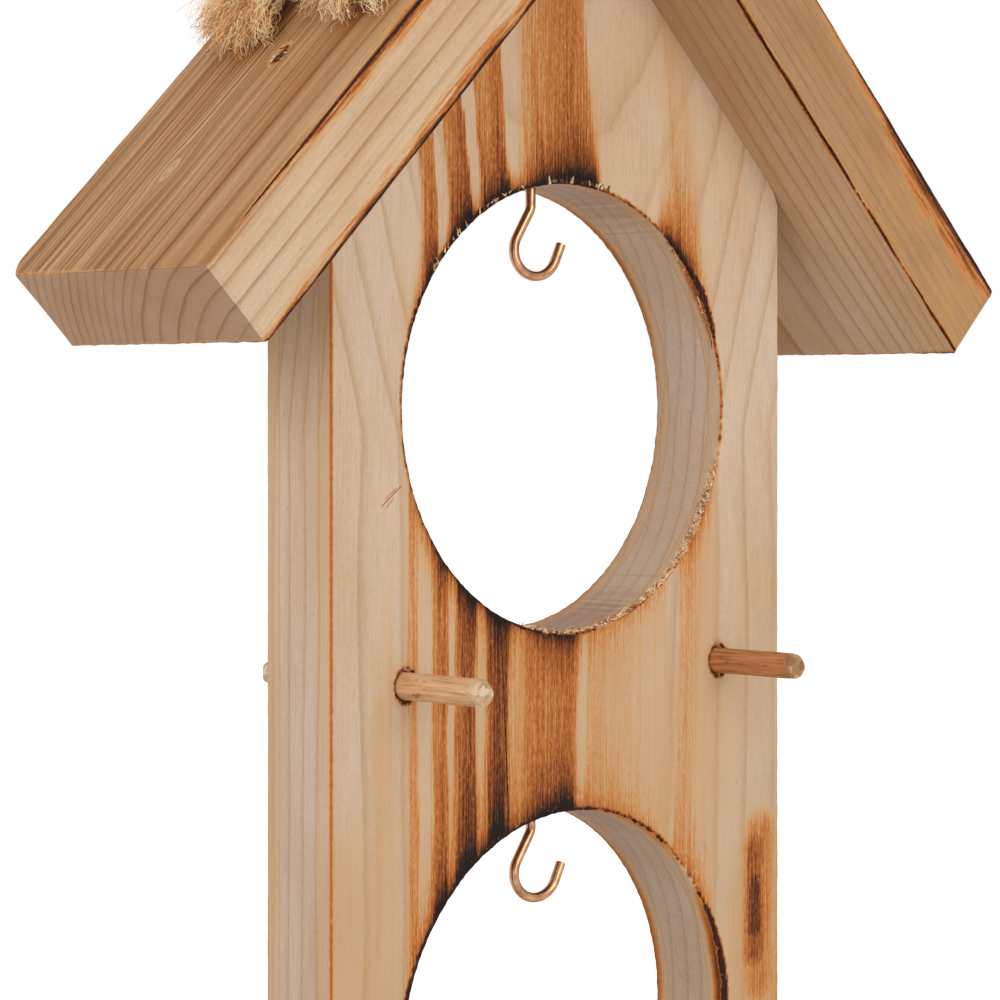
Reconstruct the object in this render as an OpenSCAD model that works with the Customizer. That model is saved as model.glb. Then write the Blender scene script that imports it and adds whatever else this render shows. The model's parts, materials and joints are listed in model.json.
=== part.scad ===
// Hanging bird feeder: an upright board with two feed holes under a butt-jointed gable roof.
// Origin: middle of the board's foot. +X to the right, -Y to the front, +Z up. Millimetres.

/* [Body board] */
// Width of the board
body_w = 140; // [130:1:180]
// Thickness of the board
body_t = 21; // [18:0.5:30]
// Height of the lower hole's centre above the foot
foot_to_hole = 80; // [70:1:110]
// Distance between the centres of the two feed holes
hole_pitch = 140; // [130:1:170]
// Radius of a feed hole
hole_r = 50; // [40:0.5:54]
// Height of the shoulders above the upper hole's centre
shoulder_rise = 50; // [40:1:70]

/* [Roof] */
// Slope of the roof in degrees
roof_angle = 45; // [42:0.5:48]
// Thickness of a roof board
roof_t = 21; // [18:0.5:30]
// Length of a roof board past the shoulder, along its underside
eave_over = 52.5; // [30:0.5:80]
// Depth of the roof past the body's front face
roof_front = 24.5; // [18:0.5:35]
// Depth of the roof past the body's back face
roof_back = 21; // [18:0.5:35]

/* [Perches] */
// Diameter of a perch dowel
perch_d = 6; // [4:0.5:10]
// Length of a perch dowel
perch_l = 70; // [60:1:110]
// Width of the rounded edge at a dowel's ends
perch_edge = 0.5; // [0.2:0.1:1]
// Sideways distance of a perch from the board's centre line
perch_x = 49; // [30:0.5:58]
// Drop from a feed hole's centre to its perches
perch_drop = 59; // [56:0.5:65]
// Clearance around a perch in its hole
perch_fit = 0.05; // [0.02:0.01:0.2]

/* [Cup hooks] */
// Diameter of the brass wire
wire_d = 2.3; // [1.8:0.1:2.8]
// Centre line radius of the hook's bend
bend_r = 5.8; // [4.5:0.1:8]
// Sideways distance of the bend's centre from the shank
bend_x = 1.3; // [0:0.1:2]
// Drop from the top of the feed hole to the bend's centre
bend_drop = 14.5; // [13:0.5:22]
// Angle of the bend where the straight tip starts, from the shank's side
bend_open = 23; // [0:1:40]
// Length of the straight tip
tip_l = 4.3; // [2:0.1:8]
// Lean of the neck between shank and bend, in degrees
neck_lean = 30; // [20:1:40]
// Centre line radius of the neck's upper bend
neck_r = 3; // [2:0.1:4]
// Sideways distance of a hook from the board's centre line
hook_x = -2; // [-12:0.5:12]
// Turn of a hook about its own shank
hook_turn = -10; // [-45:1:45]
// Length of the shank in the wood
shank_in = 12; // [8:0.5:18]
// Running clearance around a shank in its pilot hole
shank_fit = 0.05; // [0.02:0.01:0.1]

/* [Screw eye] */
// Radius of the eye's opening
eye_r = 5; // [4.5:0.1:8]
// Length of the eye's shank below the ridge
eye_in = 38; // [34:0.5:45]

/* [Nails] */
// Diameter of a nail
nail_d = 1.8; // [1.4:0.1:2.6]
// Diameter of a nail's head
nail_head_d = 3; // [2.8:0.1:4.5]
// Height of a nail's head
nail_head_h = 0.8; // [0.5:0.1:1.5]
// Depth of a head below the wood's face
nail_sink = 0.6; // [0.2:0.1:1.5]
// Length of a nail
nail_l = 45; // [35:1:50]
// Distance of the lower nail above the shoulder, along the slope
nail_low = 13.5; // [8:0.5:25]
// Distance of the upper nail below the gable's tip, along the slope
nail_high = 30; // [25:0.5:45]
// Distance of the ridge nails from the roof's front and back edges
ridge_nail_in = 13; // [8:0.5:20]
// Clearance around a nail
nail_fit = 0.05; // [0.02:0.01:0.1]

/* [Rope] */
// Diameter of the jute rope
rope_d = 8; // [6:0.5:9]

/* [Hidden] */
$fn = 64;
LEFT = -1;
RIGHT = 1;
eps = 0.01;
cut = 5;

lower_hole_z = foot_to_hole;
upper_hole_z = lower_hole_z + hole_pitch;
shoulder_z = upper_hole_z + shoulder_rise;
gable_z = shoulder_z + body_w / 2 * tan(roof_angle);
ridge_z = gable_z + roof_t / cos(roof_angle);
gable_edge = body_w / 2 / cos(roof_angle);
board_under = gable_edge + eave_over;
// Distance along a board between its outer and inner apex
apex_shift = roof_t * tan(roof_angle);
roof_y0 = -body_t / 2 - roof_front;
roof_y1 = body_t / 2 + roof_back;

wire_r = wire_d / 2;
bend_lap = 0.3;
bend_thinning = 0.02;
shank_point = 3;
eye_ring_r = eye_r + wire_r;
eye_z = ridge_z + eye_ring_r + wire_r;
nail_point = 2.5;
nail_low_s = gable_edge - nail_low + apex_shift;
nail_high_s = nail_high + apex_shift;
nail_ridge_s = roof_t / 2;
ridge_nail_y = [roof_y0 + ridge_nail_in, roof_y1 - ridge_nail_in];

// The rope lies on the left slope. A point is [down the slope, towards the back, above the wood],
// with its first number counted from the ridge's outer edge.
front_leg = [[-5.2, 0, 5.2], [-3, -8, 5], [3, -14, 4.8], [11, -16, 4.6], [21, -15.5, 4.4],
             [32, -13, 4.4], [43, -9.5, 4.8], [56, -6, 6.4]];
back_leg = [[-5.2, 0, 5.2], [-3, 8, 5], [3, 14, 4.8], [12, 17, 4.6], [22, 17.5, 4.4],
            [33, 15, 4.4], [44, 11, 4.8], [56, 7, 6.4]];
knot_at = [67, 1, 9.2];
knot_size = [29, 28, 18];
front_tail = [[74, -5, 6.5], [82, -9, 6.6], [91, -13, 6.4], [99, -17, 5.4]];
front_tail_r = [4, 5.4, 6.2, 4.8];
back_tail = [[74, 8, 6.5], [81, 13, 6.6], [88, 17, 6.6], [96, 20, 6.2], [104, 21, 5]];
back_tail_r = [4, 5.2, 6.4, 6, 4.4];
tube_sides = 10;

wood = [0.80, 0.64, 0.47];
roof_wood = [0.70, 0.53, 0.37];
dowel_wood = [0.76, 0.57, 0.37];
brass = [0.80, 0.60, 0.34];
steel = [0.55, 0.55, 0.56];
jute = [0.72, 0.55, 0.33];

function unit(v) = v / norm(v);
function slope_normal() = [-sin(roof_angle), 0, cos(roof_angle)];
function slope_point(p) =
    [-p[0] * cos(roof_angle), p[1], ridge_z - p[0] * sin(roof_angle)] + p[2] * slope_normal();

// Places children on a roof board's outer face: their +Z stands out of the wood
module on_roof(side, s, y) {
    translate([side * s * cos(roof_angle), y, ridge_z - s * sin(roof_angle)])
        rotate([0, side * roof_angle, 0]) children();
}

// Draws an outline in the XZ plane, from y0 to y1
module upright(y0, y1) {
    translate([0, y1, 0]) rotate([90, 0, 0]) linear_extrude(height = y1 - y0) children();
}

// Timber

module body_blank() {
    upright(-body_t / 2, body_t / 2) polygon([
        [-body_w / 2, 0], [body_w / 2, 0], [body_w / 2, shoulder_z],
        [0, gable_z], [-body_w / 2, shoulder_z]
    ]);
}

module body_board() {
    color(wood) difference() {
        body_blank();
        for (z = [lower_hole_z, upper_hole_z]) {
            translate([0, 0, z]) rotate([90, 0, 0]) cylinder(r = hole_r, h = body_t + 2 * cut, center = true);
            hook_pilot(z);
            for (x = [-perch_x, perch_x]) perch_bore(x, z - perch_drop);
        }
        for (side = [LEFT, RIGHT]) gable_nail_bores(side);
        eye_pilot();
    }
}

module left_roof_board() {
    end = [-board_under * cos(roof_angle), gable_z - board_under * sin(roof_angle)];
    lap = roof_t / sin(2 * roof_angle);
    color(roof_wood) difference() {
        upright(roof_y0, roof_y1) polygon([
            [0, gable_z], end, end + roof_t * [-sin(roof_angle), cos(roof_angle)],
            [0, gable_z] + lap * [-cos(roof_angle), sin(roof_angle)]
        ]);
        gable_nail_bores(LEFT);
        ridge_nail_bores();
        eye_pilot();
    }
}

module right_roof_board() {
    end = [board_under * cos(roof_angle), gable_z - board_under * sin(roof_angle)];
    lap = roof_t / sin(2 * roof_angle);
    color(roof_wood) difference() {
        upright(roof_y0, roof_y1) polygon([
            [0, gable_z], end, end + roof_t * [sin(roof_angle), cos(roof_angle)], [0, ridge_z],
            [0, gable_z] + lap * [-cos(roof_angle), sin(roof_angle)]
        ]);
        gable_nail_bores(RIGHT);
        ridge_nail_bores();
        eye_pilot();
    }
}

// Perches

module perch_bore(x, z) {
    translate([x, 0, z]) rotate([90, 0, 0])
        cylinder(r = perch_d / 2 + perch_fit, h = body_t + 2 * cut, center = true);
}

module perch(x, z) {
    r = perch_d / 2;
    half = perch_l / 2;
    color(dowel_wood) translate([x, 0, z]) rotate([90, 0, 0]) rotate_extrude() polygon([
        [0, -half], [r - perch_edge, -half], [r, -half + perch_edge],
        [r, half - perch_edge], [r - perch_edge, half], [0, half]
    ]);
}

// Hooks and eye

module pointed_shank(l) {
    cylinder(r = wire_r, h = l - shank_point);
    translate([0, 0, l - shank_point]) cylinder(r1 = wire_r, r2 = wire_r / 6, h = shank_point);
}

module hook_pilot(z) {
    translate([hook_x, 0, z + hole_r - cut])
        cylinder(r = wire_r + shank_fit, h = cut + shank_in + shank_point / 4);
}

// A bend of wire in the XZ plane, its angles from +X towards +Z. It runs a little way into the
// straight stretches that it joins, and is drawn a hair thinner than they are, as bent wire is.
module wire_bend(r, from, to) {
    lap = bend_lap / r * 180 / PI;
    rotate([90, 0, 0]) rotate([0, 0, from - lap]) rotate_extrude(angle = to - from + 2 * lap)
        translate([r, 0]) circle(r = wire_r - bend_thinning);
}

module straight_wire(at, lean, l) {
    translate([at[0], 0, at[1]]) rotate([0, lean, 0]) cylinder(r = wire_r, h = l);
}

// The bend's centre lies at height 0, and the shank's axis at x = 0
module hook_shape() {
    bend_from = 180 - neck_lean;
    bend_to = 360 - bend_open;
    neck_from = [bend_x + bend_r * cos(bend_from), bend_r * sin(bend_from)];
    neck_to_x = -neck_r * (1 - cos(neck_lean));
    neck_l = (neck_to_x - neck_from[0]) / sin(neck_lean);
    shank_z = neck_from[1] + neck_l * cos(neck_lean) + neck_r * sin(neck_lean);
    tip_from = [bend_x + bend_r * cos(bend_to), bend_r * sin(bend_to)];

    translate([bend_x, 0, 0]) wire_bend(bend_r, bend_from, bend_to);
    straight_wire(tip_from, bend_open, tip_l);
    straight_wire(neck_from, neck_lean, neck_l);
    translate([-neck_r, 0, shank_z]) wire_bend(neck_r, -neck_lean, 0);
    translate([0, 0, shank_z]) pointed_shank(bend_drop + shank_in - shank_z);
}

module cup_hook(z) {
    color(brass) translate([hook_x, 0, z + hole_r - bend_drop]) rotate([0, 0, hook_turn]) hook_shape();
}

module eye_pilot() {
    translate([0, 0, ridge_z - eye_in - shank_point / 4])
        cylinder(r = wire_r + shank_fit, h = eye_in + cut);
}

module ridge_screw_eye() {
    color(brass) {
        translate([0, 0, eye_z]) rotate([90, 0, 0]) rotate_extrude() translate([eye_ring_r, 0]) circle(r = wire_r);
        translate([0, 0, ridge_z + wire_r]) mirror([0, 0, 1]) pointed_shank(eye_in + wire_r);
    }
}

// Nails

module nail() {
    color(steel) translate([0, 0, -nail_sink]) mirror([0, 0, 1]) {
        cylinder(r = nail_head_d / 2, h = nail_head_h);
        translate([0, 0, nail_head_h - eps]) cylinder(r = nail_d / 2, h = nail_l - nail_head_h - nail_point + eps);
        translate([0, 0, nail_l - nail_point]) cylinder(r1 = nail_d / 2, r2 = nail_d / 12, h = nail_point);
    }
}

module nail_bore() {
    mirror([0, 0, 1]) {
        translate([0, 0, -cut]) cylinder(r = nail_head_d / 2 + nail_fit, h = cut + nail_sink + nail_head_h);
        cylinder(r = nail_d / 2 + nail_fit, h = nail_sink + nail_l + nail_fit);
    }
}

module gable_nail_bores(side) {
    for (s = [nail_low_s, nail_high_s]) on_roof(side, s, 0) nail_bore();
}

module ridge_nail_bores() {
    for (y = ridge_nail_y) on_roof(RIGHT, nail_ridge_s, y) nail_bore();
}

// Rope

// A tube of triangles along a path, whose first ring is square to the line from `before` to the second point
module tube(path, radii, before) {
    last = len(path) - 1;
    n = tube_sides;
    rings = [for (i = [0:last])
        let (
            from = i == 0 ? before : path[i - 1],
            to = i == last ? 2 * path[i] - path[i - 1] : path[i + 1],
            along = unit(to - from),
            side = unit(cross(slope_normal(), along)),
            top = cross(along, side)
        )
        for (j = [0:n - 1]) path[i] + radii[i] * (cos(360 * j / n) * side + sin(360 * j / n) * top)
    ];
    skin = [for (i = [0:last - 1]) for (j = [0:n - 1])
        let (a = i * n + j, b = i * n + (j + 1) % n)
        each [[a, a + n, b + n], [a, b + n, b]]
    ];
    caps = [[for (j = [0:n - 1]) j], [for (j = [n - 1:-1:0]) last * n + j]];
    polyhedron(points = rings, faces = concat(skin, caps));
}

module rope_leg(points, twin) {
    color(jute) tube([for (p = points) slope_point(p)], [for (p = points) rope_d / 2], slope_point(twin[1]));
}

module rope_tail(points, radii) {
    path = [for (p = points) slope_point(p)];
    color(jute) tube(path, radii, 2 * path[0] - path[1]);
}

module rope_knot() {
    color(jute) translate(slope_point(knot_at)) rotate([0, -roof_angle, 0]) scale(knot_size / 2)
        sphere(r = 1, $fn = 24);
}

body_board();
left_roof_board();
right_roof_board();
perch(-perch_x, upper_hole_z - perch_drop);  // upper_left_perch
perch(perch_x, upper_hole_z - perch_drop);  // upper_right_perch
perch(-perch_x, lower_hole_z - perch_drop);  // lower_left_perch
perch(perch_x, lower_hole_z - perch_drop);  // lower_right_perch
cup_hook(upper_hole_z);  // upper_hook
cup_hook(lower_hole_z);  // lower_hook
ridge_screw_eye();
on_roof(LEFT, nail_high_s, 0) nail();  // left_upper_nail
on_roof(LEFT, nail_low_s, 0) nail();  // left_lower_nail
on_roof(RIGHT, nail_high_s, 0) nail();  // right_upper_nail
on_roof(RIGHT, nail_low_s, 0) nail();  // right_lower_nail
on_roof(RIGHT, nail_ridge_s, ridge_nail_y[0]) nail();  // front_ridge_nail
on_roof(RIGHT, nail_ridge_s, ridge_nail_y[1]) nail();  // back_ridge_nail
rope_leg(front_leg, back_leg);  // rope_front_leg
rope_leg(back_leg, front_leg);  // rope_back_leg
rope_knot();
rope_tail(front_tail, front_tail_r);  // rope_front_tail
rope_tail(back_tail, back_tail_r);  // rope_back_tail
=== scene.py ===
# %% [markdown]
# # A hanging bird feeder in scorched spruce
# The real thing is three offcuts of 21 mm spruce: an upright board with two round feed holes, and two roof
# boards nailed over it. Dowels serve as perches, brass cup hooks hold the food, and a jute rope hangs it all.
# The woodwork was passed over with a gas torch, so every sawn rim and sharp edge is burnt black.
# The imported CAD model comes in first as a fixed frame. Blender adds the looks around it, in metres.

# %% Load the frame
import json
import math

import bmesh
import bpy
import numpy as np
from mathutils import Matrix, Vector, geometry, noise

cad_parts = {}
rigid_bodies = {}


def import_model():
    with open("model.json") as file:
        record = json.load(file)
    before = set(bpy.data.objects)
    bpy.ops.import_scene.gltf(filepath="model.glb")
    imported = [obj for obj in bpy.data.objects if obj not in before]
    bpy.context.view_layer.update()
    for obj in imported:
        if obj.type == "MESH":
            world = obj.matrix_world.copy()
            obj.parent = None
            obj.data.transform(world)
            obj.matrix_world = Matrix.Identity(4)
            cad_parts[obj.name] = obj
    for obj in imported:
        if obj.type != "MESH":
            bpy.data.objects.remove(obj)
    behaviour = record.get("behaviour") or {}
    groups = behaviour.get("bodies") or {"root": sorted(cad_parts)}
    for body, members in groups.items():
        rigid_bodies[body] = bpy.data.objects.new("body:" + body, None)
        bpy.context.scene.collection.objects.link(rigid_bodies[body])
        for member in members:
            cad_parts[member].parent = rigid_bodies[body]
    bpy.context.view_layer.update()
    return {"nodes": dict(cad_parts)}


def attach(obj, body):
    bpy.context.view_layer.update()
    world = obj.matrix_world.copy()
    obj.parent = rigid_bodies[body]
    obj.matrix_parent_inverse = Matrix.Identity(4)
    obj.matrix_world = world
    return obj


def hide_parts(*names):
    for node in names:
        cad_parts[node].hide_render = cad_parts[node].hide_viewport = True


for leftover in list(bpy.data.objects):
    bpy.data.objects.remove(leftover)
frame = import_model()
MM = 0.001


def in_scene(name, data):
    made = bpy.data.objects.new(name, data)
    bpy.context.scene.collection.objects.link(made)
    return made


# %% [markdown]
# ## Camera
# The photograph was taken from the left at the height of the upper hook, with the camera level. A level
# camera keeps upright edges parallel, and a small vertical shift, not a tilt, puts the feeder in the frame.

# %% Camera
camera_data = bpy.data.cameras.new("photo_camera")
camera_data.sensor_width = 36
camera_data.lens = 114.87
camera_data.shift_y = -0.0994
camera_data.clip_start = 0.02
camera = in_scene("photo_camera", camera_data)
camera.location = (-0.50218, -0.51584, 0.2217)
camera.rotation_euler = (math.pi / 2, 0, math.radians(-43.568))
bpy.context.scene.camera = camera
bpy.context.scene.view_settings.view_transform = "Standard"
print("camera:", round((camera.location - Vector((0, 0, 0.22))).length, 3), "m from the upper hole")

# %% [markdown]
# ## Small helpers for materials
# Paint colours are quoted as sRGB hex values, but a shader mixes light, so each one is turned into linear
# numbers first. The second helper adds one node, sets it up and wires its inputs, and a chain adds one node
# after another. Most patterns here are noise drawn out along the grain, so that chain has a name of its own.
# A material and a node group each start empty in the same way, so two more helpers see to that.

# %% Colours and nodes
def linear(hex_colour):
    parts = [int(hex_colour[i : i + 2], 16) / 255 for i in (1, 3, 5)]
    return tuple(p / 12.92 if p <= 0.04045 else ((p + 0.055) / 1.055) ** 2.4 for p in parts) + (1,)


BLEND = {"data_type": "RGBA"}
TINT = {"data_type": "RGBA", "blend_type": "MULTIPLY"}


def add(tree, kind, *values, **settings):
    """Adds a node, sets it up and wires its inputs in order, or by name for those in a dict. "Math.ADD" is a
    Math node set to that operation. A node given as a value stands for the first output that it has on."""
    kind, _, operation = kind.partition(".")
    if operation:
        settings["operation"] = operation
    new = tree.nodes.new(kind if kind.startswith(("Node", "Geometry", "Function")) else "ShaderNode" + kind)
    for key, value in settings.items():
        setattr(new, key, value)
    wanted = {}
    for place, value in enumerate(values):
        wanted.update(value if isinstance(value, dict) else {place: value})
    inputs = [socket for socket in new.inputs if socket.enabled]
    for key, value in wanted.items():
        socket = inputs[key] if isinstance(key, int) else new.inputs[key]
        if isinstance(value, bpy.types.Node):
            value = next(output for output in value.outputs if output.enabled)
        if isinstance(value, bpy.types.NodeSocket):
            tree.links.new(value, socket)
        elif value is not None:
            socket.default_value = value
    return new


def chain(tree, value, *steps):
    """Adds one node after another, each with the one before it as its first value. A step is a kind alone, or
    (kind, further values)."""
    for step in steps:
        kind, *values = (step,) if isinstance(step, str) else step
        value = add(tree, kind, value, *values)
    return value


def streaks(tree, place, scales, detail, *spread):
    """Noise that varies by `scales` per unit each way, with its values spread from one range to another."""
    value = chain(tree, place, ("VectorMath.MULTIPLY", scales),
                  ("TexNoise", {"Scale": 1.0, "Detail": detail}))
    return add(tree, "MapRange", value, *spread) if spread else value


def new_material(name):
    material = bpy.data.materials.new(name)
    material.use_nodes = True
    material.node_tree.nodes.clear()
    return material, material.node_tree


def new_group(name, kind, inputs, outputs):
    """A node group with its sockets: (name, type, default) for those in, (name, type) for those out. It also
    returns the sockets in as the nodes inside see them."""
    tree = bpy.data.node_groups.new(name, kind)
    for label, socket, default in inputs:
        made = tree.interface.new_socket(label, in_out="INPUT", socket_type="NodeSocket" + socket)
        if default is not None:
            made.default_value = default
    for label, socket in outputs:
        tree.interface.new_socket(label, in_out="OUTPUT", socket_type="NodeSocket" + socket)
    return tree, add(tree, "NodeGroupInput").outputs


def set_curve(node, points):
    """Gives a Float Curve node straight stretches between (x, y) points that rise in x."""
    curve = node.mapping.curves[0]
    while len(curve.points) < len(points):
        curve.points.new(0.5, 0.5)
    for place, (x, y) in zip(curve.points, points):
        place.location = (x, y)
        place.handle_type = "VECTOR"
    node.mapping.update()


def set_ramp(node, stops):
    """Gives a Color Ramp node its stops: (place, hex colour), or (place, grey number)."""
    ramp = node.color_ramp
    while len(ramp.elements) < len(stops):
        ramp.elements.new(0.5)
    for element, (place, colour) in zip(ramp.elements, stops):
        element.position = place
        element.color = linear(colour) if isinstance(colour, str) else (colour, colour, colour, 1)


print("brass as linear light:", [round(c, 3) for c in linear("#c9a26b")[:3]])

# %% [markdown]
# ## How spruce looks
# A board is a slice through a tree, so its pattern is a solid one: cylinders around the pith, cut by each
# face. Pale wood grows in spring and fades into a thin brown line in autumn. Making that pattern in three
# dimensions means that face, edge and end grain all agree. The group below takes a place in the board in
# millimetres: across it, through its depth, and along the grain.

# %% Node group: where a point is in its board
WAYS = ("Across", "Depth", "Along")
IN_BOARD = [(way, "Float", None) for way in WAYS]


def board_places():
    tree, given = new_group(
        "place in the board", "ShaderNodeTree",
        [("Origin", "Vector", None)] + [(way + " axis", "Vector", None) for way in WAYS],
        [(way, "Float") for way in WAYS])
    here = add(tree, "TexCoord").outputs["Object"]
    millimetres = add(tree, "VectorMath.SCALE", here, 1000.0)
    offset = add(tree, "VectorMath.SUBTRACT", millimetres, given["Origin"])
    add(tree, "NodeGroupOutput", *(
        add(tree, "VectorMath.DOT_PRODUCT", offset, given[way + " axis"]) for way in WAYS))
    return tree


PLACES = board_places()

# %% [markdown]
# The rings are counted outwards from the pith. Near it they are wide, further out narrow, so the count
# rises at two rates. A little noise along the grain bends the lines, and each ring gets its own strength.
# Two finer patterns come with them: long fibres, 0.3 mm across, and the short dark dashes of resin canals.

# %% Node group: spruce grain
def spruce_grain():
    growth = {"Pith across": 0, "Pith depth": -60, "Wide ring": 4, "Narrow ring": 2.5, "Change radius": 75,
              "Wander": 1, "Lean": 0, "Lean from": 0}
    tree, given = new_group(
        "spruce grain", "ShaderNodeTree",
        IN_BOARD + [(name, "Float", value) for name, value in growth.items()],
        [(name, "Float") for name in ("Ring", "Fibre", "Canal", "Cloud")])
    across, depth, along, pith_across, pith_depth, wide, narrow = given[:7]
    change, wander, lean, lean_from = given[7:11]

    place = add(tree, "CombineXYZ", across, depth, along)
    bend = streaks(tree, place, (0.03, 0.03, 0.008), 2.0)
    bent = chain(tree, bend, ("Math.SUBTRACT", 0.5), ("Math.MULTIPLY", 7.0), ("Math.MULTIPLY", wander))

    side = add(tree, "Math.SUBTRACT", across, pith_across)
    up = add(tree, "Math.SUBTRACT", depth, pith_depth)
    flat = add(tree, "CombineXYZ", side, up, 0.0)
    radius = chain(tree, flat, "VectorMath.LENGTH", ("Math.ADD", bent))
    above = chain(tree, along, ("Math.SUBTRACT", lean_from), ("Math.MAXIMUM", 0.0), ("Math.MULTIPLY", lean))
    radius = add(tree, "Math.ADD", radius, above)
    inner = chain(tree, radius, ("Math.MINIMUM", change), ("Math.DIVIDE", wide))
    outer = chain(tree, radius, ("Math.SUBTRACT", change), ("Math.MAXIMUM", 0.0), ("Math.DIVIDE", narrow))
    count = add(tree, "Math.ADD", inner, outer)
    year = add(tree, "Math.FLOOR", count)
    season = add(tree, "Math.FRACT", count)
    line = add(tree, "ValToRGB", season)
    set_ramp(line, [(0.0, 0.5), (0.04, 0.06), (0.5, 0.0), (0.78, 0.16), (0.92, 0.72), (0.965, 1.0),
                    (1.0, 0.5)])
    strength = add(tree, "TexWhiteNoise", {"W": year}, noise_dimensions="1D")
    strength = add(tree, "MapRange", strength.outputs["Value"], 0.0, 1.0, 0.45, 1.0)
    ring = add(tree, "Math.MULTIPLY", line, strength)

    long_way = add(tree, "VectorMath.MULTIPLY", place, (2.4, 2.4, 0.07))
    fibre = add(tree, "TexNoise", long_way, {"Scale": 1.0, "Detail": 3.0, "Roughness": 0.6})
    dashes = streaks(tree, place, (3.6, 3.6, 0.8), 1.0)
    fibre = add(tree, "Mix", 0.42, fibre, dashes, data_type="FLOAT")
    canal = streaks(tree, place, (2.2, 2.2, 0.45), 1.0, 0.70, 0.80, 0.0, 1.0)
    cloud = streaks(tree, place, (0.06, 0.06, 0.02), 3.0)
    add(tree, "NodeGroupOutput", ring, fibre, canal, cloud)
    return tree


SPRUCE = spruce_grain()
print("node groups:", PLACES.name, "and", SPRUCE.name)

# %% [markdown]
# ## How a torch marks it
# Heat first warms the tone to orange, then browns it, and at a sharp rim turns it to charcoal. One ramp
# holds those colours in order, so the whole pattern is told by a single number: 0 is raw wood, 1 is black.

# %% Node group: scorch
def scorch():
    tree, given = new_group(
        "torch scorch", "ShaderNodeTree",
        [("Wood", "Color", None), ("Burn", "Float", None)], [("Colour", "Color")])
    tone = add(tree, "ValToRGB", given["Burn"])
    set_ramp(tone, [(0.0, "#d2aa7c"), (0.16, "#c9985f"), (0.32, "#c07a3e"), (0.5, "#a35a26"),
                    (0.68, "#713a17"), (0.85, "#371d11"), (1.0, "#1a100c")])
    cover = add(tree, "MapRange", given["Burn"], 0.0, 0.26, 0.0, 1.0)
    mixed = add(tree, "Mix", cover, given["Wood"], tone, **BLEND)
    add(tree, "NodeGroupOutput", mixed)
    return tree


SCORCH = scorch()
print("scorch runs over", len(SCORCH.nodes), "nodes")

# %% [markdown]
# ## Sawn boards
# A sawn board is flat, but its sharp edges never stay sharp: they chip, crush and burn away, and a hole saw
# leaves a ragged rim. So each board is drawn as loops: one round the wood and one round every hole.
# The loops are stacked through the thickness, drawn in a little at both faces by an amount that changes
# along the edge, and the two broad faces are filled with triangles that can carry dents and craters.

# %% Loops and the board builder
def polygon_loop(corners, step):
    points = []
    for a, b in zip(corners, corners[1:] + corners[:1]):
        a, b = Vector(a), Vector(b)
        count = max(1, round((b - a).length / step))
        points += [a.lerp(b, i / count) for i in range(count)]
    return points


def hole_loop(centre, radius, step, ragged=0.0, seed=0):
    """A hole's rim, clockwise, so that the wood stays on the left."""
    count = round(math.tau * radius / step)
    points = []
    for i in range(count):
        angle = -math.tau * i / count
        spot = Vector((math.cos(angle), math.sin(angle)))
        rough = noise.noise((spot * radius * 0.9).to_3d() + Vector((0, 0, seed))) * ragged
        points.append(Vector(centre) + spot * (radius + rough))
    return points


def skin(made, rings):
    """Joins each closed ring of points to the next one with four-sided faces."""
    for lower, upper in zip(rings, rings[1:]):
        for k in range(len(lower)):
            j = (k + 1) % len(lower)
            made.faces.new((lower[k], lower[j], upper[j], upper[k]))


def out_of_wood(loop):
    """The direction out of the wood at each point of a loop, lengthened at corners."""
    normals = []
    for i, point in enumerate(loop):
        before, after = point - loop[i - 1], loop[(i + 1) % len(loop)] - point
        n1 = Vector((before.y, -before.x)).normalized()
        n2 = Vector((after.y, -after.x)).normalized()
        middle = (n1 + n2).normalized()
        normals.append(middle / max(0.5, middle.dot(n1)))
    return normals

print("a hole of 100 mm:", len(hole_loop((0, 0), 50.0, 0.9)), "points round its rim")

# %% [markdown]
# A broad face can have any outline and holes, so it is filled with loose points on a shaken grid, which a
# Delaunay triangulation joins up. Points out of the wood, or too close to a loop, are dropped first.

# %% Points that fill a face
def inside(points, loops):
    """Which points lie in the wood, by counting the loop edges to the right of each one."""
    hits = np.zeros(len(points), int)
    for loop in loops:
        a = np.array(loop)
        b = np.roll(a, -1, axis=0)
        for (ax, ay), (bx, by) in zip(a, b):
            if ay != by:
                crosses = (points[:, 1] > min(ay, by)) & (points[:, 1] <= max(ay, by))
                at = ax + (points[:, 1] - ay) / (by - ay) * (bx - ax)
                hits += crosses & (points[:, 0] < at)
    return hits % 2 == 1


def face_points(loops, spacing, extra, seed):
    """Loose points to fill a broad face with, kept off its loops, and the finer ones in `extra`."""
    rng = np.random.default_rng(seed)
    everything = np.array([p for loop in loops for p in loop])
    low, high = everything.min(0), everything.max(0)
    us, vs = np.arange(low[0], high[0], spacing), np.arange(low[1], high[1], spacing)
    grid = np.array([(u, v) for u in us for v in vs])
    grid += rng.uniform(-0.2, 0.2, grid.shape) * spacing
    near = [0.55 * spacing] * len(grid) + [0.12] * len(extra)
    grid = np.vstack([grid, np.array(extra).reshape(-1, 2)]) if len(extra) else grid
    keep = inside(grid, loops)
    for first in range(0, len(grid), 500):
        part = grid[first : first + 500]
        gap = np.sqrt(((part[:, None] - everything[None]) ** 2).sum(2)).min(1)
        keep[first : first + 500] &= gap > np.array(near[first : first + 500])
    return grid[keep]

# %% [markdown]
# The builder stacks each loop through the thickness: four rings round the edge off at either face, and six
# slightly wavy ones between them make the sawn side. Then the faces are filled, and points sink into dents.

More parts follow.
